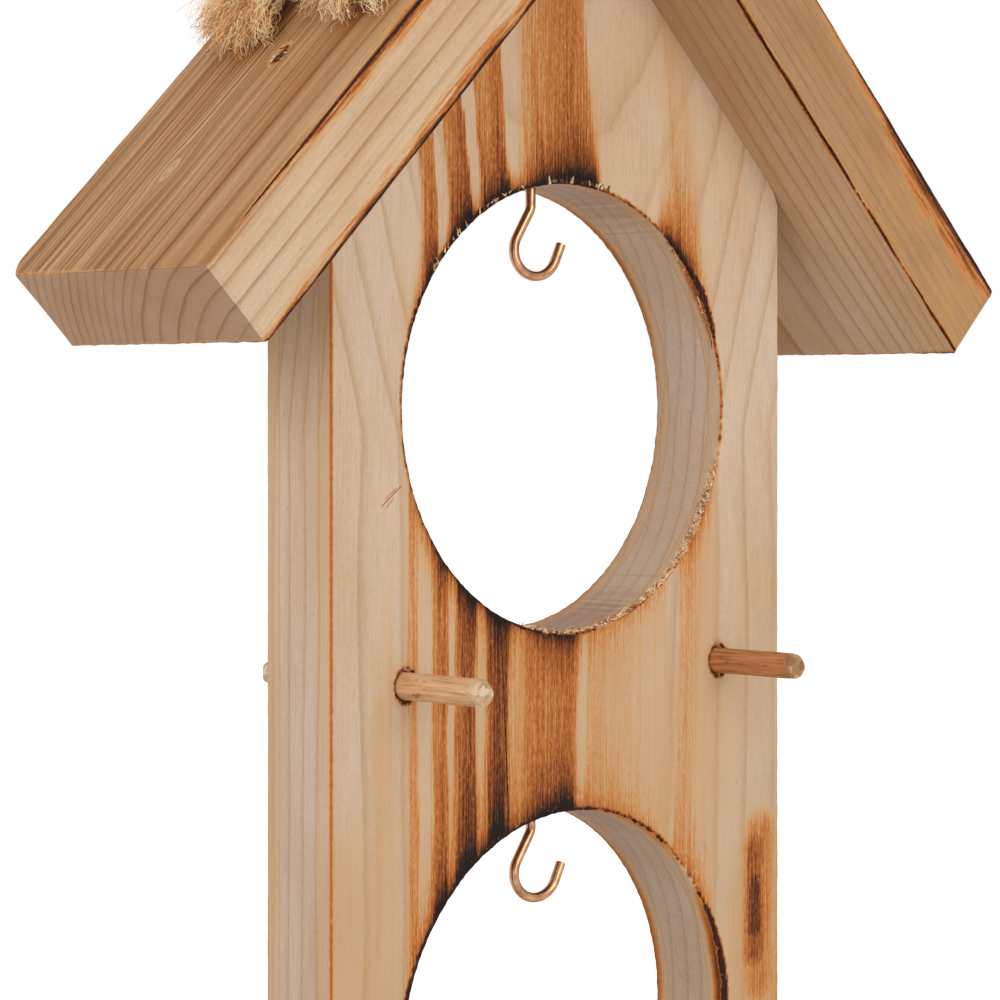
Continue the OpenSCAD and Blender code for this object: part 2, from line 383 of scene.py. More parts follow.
# %% Board builder
def board_mesh(name, loops, thick, place, arris, relief, spacing=3.0, extra=(), rough=0.06, seed=1):
    """The mesh of a board. place(u, v, w) is a point of the row frame in mm, with w from 0 to thick.
    arris(loop number, point, face) is how far the edge is worn there, relief(u, v, face) a dent's depth."""
    mesh_points, rings = [], []
    mids = np.linspace(0.12, 0.88, 6)
    for number, loop in enumerate(loops):
        outwards = out_of_wood(loop)
        worn = [[arris(number, p, face) for p in loop] for face in (0, 1)]
        levels = [(0, 0, 1.0), (0, 0.13, 0.5), (0, 0.5, 0.13), (0, 1.0, 0.0)]
        levels += [(None, m, 0.0) for m in mids]
        levels += [(1, 1.0, 0.0), (1, 0.5, 0.13), (1, 0.13, 0.5), (1, 0, 1.0)]
        for face, deep, back in levels:
            ring = []
            for i, (point, out) in enumerate(zip(loop, outwards)):
                if face is None:
                    w = thick * deep
                    wild = noise.noise(Vector((point.x * 0.5, point.y * 0.5, w * 0.9 + seed)))
                    inset = rough * max(0.0, 0.6 + wild)
                else:
                    size = worn[face][i]
                    w = size * deep if face == 0 else thick - size * deep
                    inset = size * back
                spot = point - out * inset
                ring.append(len(mesh_points))
                mesh_points.append((spot.x, spot.y, w))
            rings.append(ring)
    per_loop = len(rings) // len(loops)
    made = bmesh.new()
    corners = [made.verts.new(Vector(place(*p)) * MM) for p in mesh_points]
    for number in range(len(loops)):
        mine = rings[number * per_loop : (number + 1) * per_loop]
        skin(made, [[corners[k] for k in ring] for ring in mine])
    for face, level in ((0, 0), (1, per_loop - 1)):
        rims = [rings[number * per_loop + level] for number in range(len(loops))]
        flat = [[Vector(mesh_points[k][:2]) for k in rim] for rim in rims]
        filling = face_points(flat, spacing, extra, seed)
        known = [k for rim in rims for k in rim]
        coords = [Vector(mesh_points[k][:2]) for k in known] + [Vector(p) for p in filling]
        edges, start = [], 0
        for rim in rims:
            edges += [(start + i, start + (i + 1) % len(rim)) for i in range(len(rim))]
            start += len(rim)
        points, _, triangles, origin, _, _ = geometry.delaunay_2d_cdt(coords, edges, [], 0, 1e-5)
        where = {}
        for k, sources in enumerate(origin):
            source = sources[0]
            if source < len(known):
                where[k] = corners[known[source]]
            else:
                u, v = points[k]
                dent = relief(u, v, face)
                where[k] = made.verts.new(Vector(place(u, v, dent if face == 0 else thick - dent)) * MM)
        triangles = [t for t in triangles if abs(geometry.area_tri(*(points[k] for k in t))) > 1e-4]
        middles = np.array([sum((points[k] for k in t), Vector((0, 0))) / 3 for t in triangles])
        for triangle, wood in zip(triangles, inside(middles, flat)):
            if wood:
                made.faces.new([where[k] for k in triangle])
    bmesh.ops.remove_doubles(made, verts=made.verts, dist=1e-7)
    bmesh.ops.recalc_face_normals(made, faces=made.faces)
    return finished(name, made)

# %% [markdown]
# A finished mesh is shaded softly below an angle. It is then told what it moves with and which CAD pieces it
# stands for.

# %% Finished pieces
def finished(name, made, smooth_below=40):
    """Turns a bmesh into an object at the origin, with soft shading under an angle."""
    mesh = bpy.data.meshes.new(name)
    made.to_mesh(mesh)
    made.free()
    mesh.shade_smooth()
    mesh.set_sharp_from_angle(angle=math.radians(smooth_below))
    return in_scene(name, mesh)


def fit(piece, body, slot, *nodes):
    """Says what a finished piece moves with and which CAD nodes it stands for. The slot is not used."""
    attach(piece, body)
    if nodes:
        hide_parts(*nodes)
    sides = [f.loop_total - 2 for f in piece.data.polygons] if piece.type == "MESH" else []
    print(f"{piece.name}: {sum(sides)} triangles on {body}")
    return piece

# %% [markdown]
# ## The upright board
# Its two feed holes were cut with a hole saw, and four dowels pass through it. Over each perch hole the
# drill tore a chip out of the face, so the edge is worn back much further there than anywhere else.

# %% Body board: shape
WIDTH, THICK, SHOULDER, GABLE = 140.0, 21.0, 270.0, 340.0
HALF = WIDTH / 2
HOLE_R, HOLE_Z = 50.0, (80.0, 220.0)
PERCH_X, PERCH_Z = 49.0, (21.0, 161.0)

body_outline = [(-HALF, 0), (HALF, 0), (HALF, SHOULDER - 1.8), (HALF - 1.3, SHOULDER + 1.3), (0, GABLE),
                (-HALF, SHOULDER)]
body_loops = [polygon_loop(body_outline, 1.6)]
body_loops += [hole_loop((0, z), HOLE_R, 0.9, ragged=0.16, seed=z) for z in HOLE_Z]
perch_spots = [(x, z) for z in PERCH_Z for x in (-PERCH_X, PERCH_X)]
body_loops += [hole_loop(spot, 3.06, 0.55) for spot in perch_spots]


def body_arris(number, point, face):
    wild = noise.noise((point * 0.35).to_3d() + Vector((0, 0, 7.0 * face)))
    fine = noise.noise((point * 1.3).to_3d() + Vector((3, 0, 5.0 * face)))
    if number == 0:
        return 0.02 if point.y > SHOULDER + 3 else 0.42 + 0.18 * wild + 0.1 * fine
    if number <= 2:
        clock = math.degrees(math.atan2(point.y - HOLE_Z[number - 1], point.x))
        torn_from, torn_to = {1: (0, 82), 2: (-100, -10)}[number]
        torn = 0.6 if torn_from < clock < torn_to else 0.0
        return 0.5 + 0.2 * wild + 0.2 * fine + torn * (1 - face) * (1 + wild + fine)
    turn = (point - Vector(perch_spots[number - 3])).normalized()
    chip = 1.9 * max(0.0, turn.y) ** 10 + 1.0 * max(0.0, -turn.y) ** 14
    return 0.22 + chip * (1 + 0.6 * fine)


def body_relief(u, v, face):
    return 0.05 + 0.05 * noise.noise(Vector((u * 0.05, v * 0.012, 9.0 * face)))


body_board = board_mesh(
    "body_board_scorched_spruce", body_loops, THICK, lambda u, v, w: (u, w - THICK / 2, v),
    body_arris, body_relief, seed=11)
print("upright board:", len(body_board.data.vertices), "points in", len(body_loops), "loops")

# %% [markdown]
# ## The roof boards
# Both are plain lengths of the same stock, cut square. The right one laps over the end of the left one,
# which is the quickest way to close a 90 degree ridge. Their outline is drawn in the plane of the slope.
# Nails were driven below the face, and each left a torn crater, drawn out along the grain.

# %% Roof boards: shape
APEX = Vector((0, 0, GABLE))
EAVE, ROOF_Y = 151.5, (-35.0, 31.5)
LEFT_SLOPE, LEFT_OUT = Vector((-1, 0, -1)).normalized(), Vector((-1, 0, 1)).normalized()
RIGHT_SLOPE, RIGHT_OUT = Vector((1, 0, -1)).normalized(), Vector((1, 0, 1)).normalized()
LEFT_NAILS = [(30.0, 0.0), (85.5, 0.0)]
RIGHT_NAILS = [(30.0, 0.0), (85.5, 0.0), (-10.5, -22.0), (-10.5, 18.5)]


def on_slope(slope, out, s, y, n):
    """A point s mm down the slope from the inner apex, at depth y, n mm above the underside."""
    return APEX + slope * s + out * n + Vector((0, y, 0))


def nail_crater(u, v, nails):
    """How deep the face is torn round a nail: below its head, then a ragged slope along the grain."""
    deepest = 0.0
    for s, y in nails:
        long, wide = (u - s), (v - y)
        torn = 1 + 0.35 * noise.noise(Vector((u * 0.9, v * 1.7, s)))
        far = math.hypot(long / (1.75 * torn), wide / (1.0 * torn))
        round_head = math.hypot(long, wide)
        over_head = 0.75 if round_head < 1.62 else 0.0
        deepest = max(deepest, over_head, 0.62 * max(0.0, min(1.0, (2.5 - far) / 1.1)))
    return deepest


def crater_points(nails):
    spots = []
    for s, y in nails:
        for ring in (0.8, 1.5, 1.68, 2.1, 2.6, 3.2, 4.0, 4.8):
            turns = int(8 + 7 * ring)
            angles = [math.tau * i / turns for i in range(turns)]
            spots += [(s + ring * math.cos(a), y + 0.8 * ring * math.sin(a)) for a in angles]
    return spots


def eave_arris(number, point, face):
    """Soft along the board, ragged at the sawn eave end, and sharp where the other board laps it."""
    s, y = point
    wild = noise.noise(Vector((s * 0.11, y * 0.3, 4.0 * face)))
    fine = noise.noise(Vector((s * 0.9, y * 0.9, 6.0 * face)))
    if s > EAVE - 1.5:
        return 0.62 + 0.3 * wild + 0.25 * fine
    if s < 2 and s > -5:
        return 0.04
    return 0.5 + 0.25 * wild + 0.14 * fine


def roof_board(name, slope, out, start, eave_corners, nails, seed):
    """eave_corners: the eave end's outline, from the front to the back, as (mm short of the eave, y)."""
    outline = [(start, ROOF_Y[0])] + [(EAVE - short, y) for short, y in eave_corners] + [(start, ROOF_Y[1])]

    def relief(u, v, face):
        slow = 0.05 + 0.05 * noise.noise(Vector((u * 0.012, v * 0.06, seed + 9.0 * face)))
        return slow + (nail_crater(u, v, nails) if face == 1 else 0.0)

    return board_mesh(
        name, [polygon_loop(outline, 1.3)], THICK, lambda u, v, w: on_slope(slope, out, u, v, w),
        eave_arris, relief, extra=crater_points(nails), rough=0.12, seed=seed)


y0, y1 = ROOF_Y
left_roof = roof_board(
    "left_roof_board_spruce", LEFT_SLOPE, LEFT_OUT, 0.0,
    [(0.8, y0), (0.0, y0 + 0.8), (0.0, y1 - 2.6), (1.3, y1 - 1.5), (4.4, y1)], LEFT_NAILS, 21)
right_roof = roof_board(
    "right_roof_board_spruce", RIGHT_SLOPE, RIGHT_OUT, -THICK,
    [(1.2, y0), (0.0, y0 + 1.0), (0.0, y1 - 0.8), (1.0, y1)], RIGHT_NAILS, 33)

# %% [markdown]
# ## Where the torch touched the upright board
# The flame was pointed at the feed holes. Above each hole it licked up the grain, and the soft spring wood
# took far more heat than the hard lines between, so the burn runs in stripes that end in pale icicles.
# Two drawn curves across the board give the stripes above the upper hole and below it, where 0.4 is raw
# wood and less resists the flame. Two more say how hard the flame was on the rim there, and a last one, round
# the clock of each rim, gives the width of its black line.

# %% Curves that draw the torch marks
RAW_WOOD = 0.4
CURVE_TOP = 5.0  # the width or reach in mm that a Float Curve's 1 stands for
STRIPES_ABOVE = [(-70, 0.40), (-58, 0.40), (-56, 0.45), (-54, 0.38), (-52.5, 0.60), (-49.8, 0.56),
                 (-48.6, 0.36), (-45.2, 0.38), (-44, 0.66), (-41.2, 0.78), (-39.9, 0.66), (-39.3, 0.12),
                 (-37.4, 0.10), (-36, 0.66), (-32.6, 0.78), (-30.2, 0.84), (-29.5, 0.14), (-27, 0.14),
                 (-26.3, 0.44), (-25.9, 0.82), (-25.2, 0.64), (-22, 0.66), (-19.6, 0.80), (-18.2, 0.72),
                 (-17.2, 0.20), (-14.4, 0.30), (-12, 0.54), (-8.6, 0.60), (-7.6, 0.70), (-6.6, 0.60),
                 (-2.6, 0.66), (0, 0.72), (4, 0.76), (7.4, 0.72), (9.2, 0.62), (10, 0.40), (14, 0.40),
                 (17, 0.36), (21, 0.38), (24, 0.36), (32, 0.40), (34.4, 0.46), (35.2, 0.54), (36, 0.50),
                 (40, 0.50), (44, 0.42), (70, 0.38)]
STRIPES_BELOW = [(-70, 0.40), (-60, 0.41), (-56, 0.46), (-53.6, 0.52), (-52.4, 0.38), (-50.2, 0.52),
                 (-49, 0.44), (-48.2, 0.66), (-46.2, 0.62), (-45.6, 0.42), (-42.2, 0.42), (-41.2, 0.66),
                 (-38.6, 0.82), (-37.4, 0.70), (-36.6, 0.42), (-35.4, 0.44), (-34.2, 0.78), (-31, 0.94),
                 (-29, 0.86), (-28.2, 0.44), (-26.2, 0.46), (-25, 0.84), (-22.4, 1.0), (-19.8, 0.95),
                 (-18.6, 0.56), (-15.2, 0.56), (-14, 0.70), (-10, 0.73), (-7, 0.70), (-3, 0.78),
                 (0.2, 0.74), (1.4, 0.48), (3.4, 0.46), (4.6, 0.56), (12, 0.54), (20, 0.52), (28.5, 0.50),
                 (29.8, 0.34), (32.2, 0.34), (33.4, 0.56), (37, 0.60), (41, 0.50), (46, 0.48), (49, 0.42),
                 (53, 0.46), (58, 0.42), (70, 0.42)]
TORCH_ABOVE = [(-70, 0.0), (-50, 0.0), (-48.8, 0.55), (-42, 0.8), (-30, 1.0), (-18, 0.9), (-15, 0.55),
               (-10, 0.8), (0, 1.0), (8.8, 1.0), (10.2, 0.06), (22, 0.05), (28, 0.15), (31.5, 0.9),
               (36, 1.0), (41, 0.9), (45.5, 0.35), (48, 0.1), (50, 0.0), (70, 0.0)]
TORCH_BELOW = [(-70, 0.0), (-50, 0.0), (-48.6, 0.6), (-42, 1.0), (-22, 1.0), (-18.6, 0.7), (-15, 0.45),
               (-9, 0.75), (-2, 1.0), (1, 0.9), (3, 0.35), (12, 0.3), (24, 0.22), (35, 0.15), (40, 0.4),
               (45, 0.5), (48.5, 0.25), (50, 0.0), (70, 0.0)]
# Round each rim, clockwise from straight down (0) by the left, the top (0.5) and the right: width in mm
UPPER_RIM = [(0.0, 0.9), (0.07, 0.9), (0.12, 0.6), (0.25, 0.45), (0.33, 1.2), (0.38, 1.5), (0.47, 1.1),
             (0.528, 1.2), (0.536, 0.2), (0.6, 0.2), (0.625, 0.8), (0.66, 2.0), (0.685, 1.3), (0.702, 0.35),
             (0.73, 0.12), (0.9, 0.1), (0.96, 0.3), (1.0, 0.9)]
LOWER_RIM = [(0.0, 1.2), (0.1, 0.8), (0.2, 1.2), (0.3, 1.5), (0.42, 1.1), (0.5, 1.1), (0.54, 0.9),
             (0.6, 1.0), (0.628, 0.5), (0.64, 0.12), (0.652, 0.5), (0.68, 1.6), (0.72, 2.4), (0.78, 2.2),
             (0.86, 0.8), (1.0, 1.2)]
# The flame's marks on each rim: hole centre, up or down, curve, then (strength, reach in mm) three times over
HEATS = [(HOLE_Z[1], 1, TORCH_ABOVE, ((0.66, 2.3), (0.34, 7.0), (0.2, 24.0))),
         (HOLE_Z[1], -1, TORCH_BELOW, ((0.55, 1.2), (0.30, 5.5), (0.14, 20.0))),
         (HOLE_Z[0], 1, TORCH_BELOW, ((0.66, 2.1), (0.34, 7.5), (0.20, 26.0))),
         (HOLE_Z[0], -1, TORCH_BELOW, ((0.55, 1.2), (0.26, 5.0), (0.08, 16.0)))]
# Marks that follow no rim, as (x, z, x, z, half width, strength): a crack, a scratch and a resin scorch
MARKS = [(-20.9, 169.0, -18.8, 129.5, 0.22, 0.95), (-55.8, 199.4, -50.4, 203.6, 0.09, 0.62),
         (-54.6, 199.0, -52.6, 200.9, 0.08, 0.45), (-54.9, 200.9, -51.9, 203.0, 0.07, 0.5),
         (61.6, 97.0, 61.9, 108.0, 2.6, 0.77), (61.7, 91.0, 61.9, 116.0, 3.2, 0.57),
         (63.2, 84.0, 63.6, 119.0, 4.5, 0.35), (66.0, 40.0, 66.0, 104.0, 12.0, 0.2),
         (36.0, 112.0, 40.0, 150.0, 14.0, 0.13),
         (-67.0, 20.0, -67.0, 112.0, 18.0, 0.12), (-57.0, 104.0, -56.6, 158.0, 1.5, 0.14)]

# %% [markdown]
# A stripe is a height above raw wood. The curves are read at a place that drifts a little along the grain, so
# that the stripes waver. The flame's heat adds to them, and fades with the distance from a rim.

# %% Stripes and heat
def stripes_and_heat(tree, x, across, along, flat):
    drift = streaks(tree, flat, (0.05, 0.05, 0.012), 1.0, 0.0, 1.0, -1.0, 1.0)
    thread = streaks(tree, flat, (0.9, 0.9, 0.035), 3.0, 0.0, 1.0, -1.9, 1.9)
    lean = add(tree, "MapRange", along, SHOULDER - 8.0, GABLE, 0.0, 8.0)
    unlean = add(tree, "MapRange", along, 128.0, 172.0, 0.0, -2.6)
    x_drift = chain(tree, x, ("Math.ADD", drift), ("Math.ADD", thread), ("Math.ADD", lean))
    upper_half = add(tree, "Math.GREATER_THAN", along, HOLE_Z[1])
    unlean = add(tree, "Mix", upper_half, unlean, 0.0, data_type="FLOAT")
    to_right = add(tree, "MapRange", x, -20.0, -5.0, 0.1, 1.0)
    unlean = add(tree, "Math.MULTIPLY", unlean, to_right)
    x_drift = add(tree, "Math.ADD", x_drift, unlean)
    place = add(tree, "MapRange", x_drift, -HALF, HALF, 0.0, 1.0)
    place_plain = add(tree, "MapRange", x, -HALF, HALF, 0.0, 1.0)

    def drawn(points, source):
        curve = add(tree, "FloatCurve", 1.0, source)
        set_curve(curve, [((px + HALF) / WIDTH, py) for px, py in points])
        return curve

    above, below = drawn(STRIPES_ABOVE, place), drawn(STRIPES_BELOW, place)
    stripe = add(tree, "Mix", upper_half, below, above, data_type="FLOAT")
    stripe = add(tree, "Math.SUBTRACT", stripe, RAW_WOOD)

    # Half the chord of a feed hole at this x gives the height of its rim above and below the centre
    square = add(tree, "Math.MULTIPLY", across, across)
    chord = add(tree, "Math.SUBTRACT", HOLE_R ** 2, square)
    chord = chain(tree, chord, ("Math.MAXIMUM", 0.0), "Math.SQRT")
    heats = []
    for centre, side, points, reaches in HEATS:
        above = chain(tree, along, ("Math.SUBTRACT", centre), ("Math.MULTIPLY", float(side)))
        beyond = chain(tree, above, ("Math.SUBTRACT", chord), ("Math.MAXIMUM", -0.3))
        total = None
        for strength, reach in reaches:
            part = chain(tree, beyond, ("Math.MULTIPLY", -1 / reach), "Math.EXPONENT",
                         ("Math.MULTIPLY", strength))
            total = part if total is None else add(tree, "Math.ADD", total, part)
        heat = add(tree, "Math.MULTIPLY", total, drawn(points, place_plain))
        on_side = add(tree, "Math.GREATER_THAN", above, 0.0)
        heats.append(add(tree, "Math.MULTIPLY", heat, on_side))
    from_above = add(tree, "Mix", upper_half, heats[1], heats[0], data_type="FLOAT")
    from_below = add(tree, "Math.ADD", heats[2], heats[3])
    heat = add(tree, "Math.MAXIMUM", from_above, from_below)
    burn = add(tree, "Math.ADD", stripe, heat)

    # Stripes stay clear of the plain wood beside the holes
    level = chain(tree, along, ("Math.SUBTRACT", sum(HOLE_Z) / 2), "Math.ABSOLUTE")
    beside = chain(tree, x, "Math.ABSOLUTE", ("MapRange", 46.0, 52.0, 0.0, 1.0))
    far_up = add(tree, "MapRange", level, 22.0, 60.0, 0.0, 0.9)
    calm = add(tree, "Math.MULTIPLY", beside, far_up)
    calm = add(tree, "Math.SUBTRACT", 1.0, calm)
    return add(tree, "Math.MULTIPLY", burn, calm)

# %% [markdown]
# The other marks are distances too: from a short listed line, from a drilled hole, and from a rim,
# where the line's width follows the clock. Each goes over what is there wherever it is darker. A ripple of
# noise is added to every distance, so that no border is smooth.

# %% Listed marks, at the perch holes and on the rims
def drawn_marks(tree, burn, flat, ripple):
    for x1, z1, x2, z2, wide, strength in MARKS:
        way = Vector((x2 - x1, z2 - z1))
        here = add(tree, "VectorMath.SUBTRACT", flat, (x1, 0.0, z1))
        share = add(tree, "VectorMath.DOT_PRODUCT", here, (
            way.x / way.length ** 2, 0.0, way.y / way.length ** 2))
        share = add(tree, "Clamp", share)
        reached = add(tree, "VectorMath.SCALE", (way.x, 0.0, way.y), share)
        apart = add(tree, "VectorMath.DISTANCE", here, reached)
        rough = add(tree, "Math.MULTIPLY", ripple, min(0.8, wide))
        apart = add(tree, "Math.ADD", apart, rough)
        mark = add(tree, "MapRange", apart, wide * 0.2, wide * 2.2, strength, 0.0,
                   interpolation_type="SMOOTHSTEP")
        burn = add(tree, "Math.MAXIMUM", burn, mark)
    return burn


def perch_hole_marks(tree, burn, x, along, ripple):
    """The drilled perch holes are charred too, and most at the chip above each."""
    sideways = chain(tree, x, "Math.ABSOLUTE", ("Math.SUBTRACT", PERCH_X))
    up_down = [add(tree, "Math.SUBTRACT", along, z) for z in PERCH_Z]
    in_row = add(tree, "Math.GREATER_THAN", along, sum(PERCH_Z) / 2)
    up_down = add(tree, "Mix", in_row, *up_down, data_type="FLOAT")
    up_down = add(tree, "Math.MULTIPLY", up_down, 0.82)
    ring = chain(tree, sideways, ("CombineXYZ", up_down, 0.0), "VectorMath.LENGTH", ("Math.ADD", ripple))
    singe = add(tree, "MapRange", ring, 2.9, 3.7, 0.9, 0.12)
    halo = add(tree, "MapRange", ring, 3.7, 5.2, 1.0, 0.0)
    singe = add(tree, "Math.MULTIPLY", singe, halo)
    return add(tree, "Math.MAXIMUM", burn, singe)


def rim_lines(tree, burn, x, along, ripple):
    """The black line on each rim, and how strongly it browned the wall just inside the hole."""
    inner = None
    for centre, points in zip(HOLE_Z, (LOWER_RIM, UPPER_RIM)):
        up = add(tree, "Math.SUBTRACT", along, centre)
        spot = add(tree, "CombineXYZ", x, up, 0.0)
        far_out = chain(tree, spot, "VectorMath.LENGTH", ("Math.SUBTRACT", HOLE_R))
        clock = chain(tree, up, ("Math.ARCTAN2", x), ("Math.MULTIPLY", -1.0), ("Math.ADD", 1.5 * math.pi),
                      ("Math.DIVIDE", math.tau), "Math.FRACT")
        width = add(tree, "FloatCurve", 1.0, clock)
        set_curve(width, [(turn, mm / CURVE_TOP) for turn, mm in points])
        width = add(tree, "Math.MULTIPLY", width, CURVE_TOP)
        edge = chain(tree, far_out, ("Math.SUBTRACT", width), ("Math.ADD", ripple))
        black = add(tree, "MapRange", edge, -0.45, 0.7, 0.95, 0.0)
        burn = add(tree, "Math.MAXIMUM", burn, black)
        near_hole = add(tree, "MapRange", far_out, 3.0, 4.0, 0.32, 0.0)
        singed = add(tree, "Math.MULTIPLY", width, near_hole)
        inner = singed if inner is None else add(tree, "Math.ADD", inner, singed)
    return burn, inner

# %% [markdown]
# The group adds it all up on the broad faces, and lets the fibres break every border. Then it sees to the
# sawn sides: browned walls in the holes, and sharp edges that the flame caught.

# %% Node group: burn on the upright board
BURN_SOCKETS = (IN_BOARD + [("Fibre", "Float", None)], [("Burn", "Float")])


def body_burn():
    tree, given = new_group("torch marks on the upright board", "ShaderNodeTree", *BURN_SOCKETS)
    across, depth, along, fibre = given[:4]
    # The back was torched too: its stripes are the front's, turned about
    turned = chain(tree, depth, "Math.SIGN", ("Math.MULTIPLY", -1.0))
    x = add(tree, "Math.MULTIPLY", across, turned)
    flat = add(tree, "CombineXYZ", x, 0.0, along)
    ripple = chain(tree, flat, ("TexNoise", {"Scale": 0.8, "Detail": 3.0}),
                   ("MapRange", 0.0, 1.0, -0.75, 0.75))
    burn = stripes_and_heat(tree, x, across, along, flat)
    burn = drawn_marks(tree, burn, flat, ripple)
    burn = perch_hole_marks(tree, burn, x, along, ripple)
    burn, inner = rim_lines(tree, burn, x, along, ripple)

    # All this lies on the two broad faces. Round the corner it stops within a millimetre
    deep = add(tree, "Math.ABSOLUTE", depth)
    deep = add(tree, "Math.SUBTRACT", THICK / 2, deep)
    torn = add(tree, "Math.MULTIPLY", ripple, 0.55)
    ragged = add(tree, "Math.ADD", deep, torn)
    on_face = add(tree, "MapRange", ragged, 0.12, 0.62, 1.0, 0.0)
    grit = add(tree, "Math.SUBTRACT", fibre, 0.5)
    strong = add(tree, "MapRange", burn, 0.02, 0.45, 0.1, 1.25)
    long_streak = streaks(tree, flat, (2.1, 2.1, 0.022), 3.0, 0.3, 0.7, -0.1, 0.1)
    grit = chain(tree, grit, ("Math.ADD", long_streak), ("Math.MULTIPLY", strong))
    burn = chain(tree, burn, ("Math.ADD", grit), ("Math.MULTIPLY", on_face))
    # Just inside the holes the torn wood browned where the rim is black
    wall = chain(tree, ragged, ("MapRange", 0.8, 3.2, 1.0, 0.0), ("Math.MULTIPLY", inner))
    off_face = add(tree, "MapRange", ragged, 0.1, 0.5, 0.0, 1.0)
    wall = add(tree, "Math.MULTIPLY", wall, off_face)
    burn = add(tree, "Math.MAXIMUM", burn, wall)
    # A warm strip 4 mm deep, and the singed long arrises, darker on the left
    strip = add(tree, "MapRange", deep, 3.6, 4.4, 0.09, 0.0, interpolation_type="SMOOTHSTEP")
    ring_line = chain(tree, ripple, ("Math.MULTIPLY", 0.2), ("Math.ADD", deep), ("Math.SUBTRACT", 4.1),
                      "Math.ABSOLUTE", ("MapRange", 0.08, 0.45, 0.19, 0.0))
    strip = chain(tree, strip, ("Math.MAXIMUM", ring_line), ("Math.MULTIPLY", off_face))
    burn = add(tree, "Math.MAXIMUM", burn, strip)
    from_side = add(tree, "Math.ABSOLUTE", x)
    from_side = add(tree, "Math.SUBTRACT", HALF, from_side)
    corner = chain(tree, from_side, ("CombineXYZ", deep, 0.0), "VectorMath.LENGTH")
    to_left = add(tree, "MapRange", x, -5.0, 5.0, 0.48, 0.0)
    low_right = add(tree, "MapRange", along, 110.0, 150.0, 0.5, 0.12)
    to_left = add(tree, "Math.MAXIMUM", to_left, low_right)
    slim = add(tree, "Math.MULTIPLY", ripple, 0.35)
    corner = add(tree, "Math.ADD", corner, slim)
    arris_line = add(tree, "MapRange", corner, 0.25, 0.75, to_left, 0.0)
    burn = chain(tree, burn, ("Math.MAXIMUM", arris_line), ("Math.MAXIMUM", 0.0))
    add(tree, "NodeGroupOutput", burn)
    return tree


BODY_BURN = body_burn()
print("burn on the upright board:", len(BODY_BURN.nodes), "nodes")

# %% [markdown]
# ## Where it touched the roof boards
# There the flame only ran along the sharp edges. Heat dies away from an edge as a falling exponential, so
# each charred line is black at the edge, then brown, then orange. A curve along the board says how far it
# reaches, and streaky noise lets it run further along the soft wood.
# Some faces are also browned evenly: torch toast on the front faces, and painted shade on the right board's
# underside.

# %% Node group: burn along the edges of a roof board
ANY = None  # the place of an edge that runs across the board, along its eave


def edge_burn(name, edges, nails, browner_tone):
    """edges: (y, n, [(s, reach in mm), ...]), or ANY for y and [(y, reach in mm), ...].
    browner_tone: faces given an even brown, as (way into the board, full, none, s of none, s of most, burn).
    On the front faces it is torch toast, on the right board's underside painted shade."""
    tree, given = new_group(name, "ShaderNodeTree", *BURN_SOCKETS)
    across, depth, along, fibre = given[:4]
    place = add(tree, "CombineXYZ", across, depth, along)
    small = chain(tree, place, ("TexNoise", {"Scale": 1.1, "Detail": 3.0}),
                  ("MapRange", 0.0, 1.0, -0.45, 0.05))
    streak = streaks(tree, place, (1.5, 1.5, 0.1), 3.0, 0.3, 0.7, 0.3, 1.7)
    cloud = streaks(tree, place, (0.35, 0.35, 0.06), 4.0, 0.35, 0.7, 0.45, 1.0)
    burn = None
    # Faces browned evenly: torch toast, and on the right board's underside painted shade.
    for axis, near, far, start, stop, most in browner_tone:
        source = {"across": across, "depth": depth}[axis]
        on_face = add(tree, "MapRange", source, near, far, 1.0, 0.0)
        on_length = add(tree, "MapRange", along, start, stop, 0.0, most)
        patch = chain(tree, on_face, ("Math.MULTIPLY", on_length), ("Math.MULTIPLY", cloud))
        burn = patch if burn is None else add(tree, "Math.MAXIMUM", burn, patch)
    for y, n, reaches in edges:
        from_place, place_at = (along, EAVE) if y is ANY else (across, y)
        near_y = add(tree, "Math.SUBTRACT", from_place, place_at)
        near_n = add(tree, "Math.SUBTRACT", depth, n)
        apart = chain(tree, near_y, ("CombineXYZ", near_n, 0.0), "VectorMath.LENGTH", ("Math.ADD", small),
                      ("Math.MAXIMUM", 0.0))
        low, high = reaches[0][0], reaches[-1][0]
        source = across if y is ANY else along
        turn = add(tree, "MapRange", source, float(low), float(high), 0.0, 1.0)
        reach = add(tree, "FloatCurve", 1.0, turn)
        set_curve(reach, [((s - low) / (high - low), mm / CURVE_TOP) for s, mm in reaches])
        reach = add(tree, "Math.MULTIPLY", reach, CURVE_TOP)
        there = add(tree, "MapRange", reach, 0.04, 0.3, 0.0, 1.12)
        reach = add(tree, "Math.MULTIPLY", reach, streak)
        heat = chain(tree, apart, ("Math.DIVIDE", reach), ("Math.MULTIPLY", -1.0), "Math.EXPONENT",
                     ("Math.MULTIPLY", there))
        burn = add(tree, "Math.MAXIMUM", burn, heat)
    for s, y in nails:
        spot = chain(tree, along, ("CombineXYZ", across, depth), ("VectorMath.SUBTRACT", (s, y, THICK)),
                     ("VectorMath.MULTIPLY", (0.55, 1.0, 1.0)))
        apart = chain(tree, spot, "VectorMath.LENGTH", ("Math.ADD", small))
        singe = add(tree, "MapRange", apart, 0.8, 2.2, 0.85, 0.0)
        burn = add(tree, "Math.MAXIMUM", burn, singe)
    grit = chain(tree, fibre, ("Math.SUBTRACT", 0.5), ("Math.MULTIPLY", 0.8))
    strong = add(tree, "MapRange", burn, 0.02, 0.4, 0.0, 1.0)
    grit = add(tree, "Math.MULTIPLY", grit, strong)
    burn = chain(tree, burn, ("Math.ADD", grit), ("Math.MAXIMUM", 0.0))
    add(tree, "NodeGroupOutput", burn)
    return tree


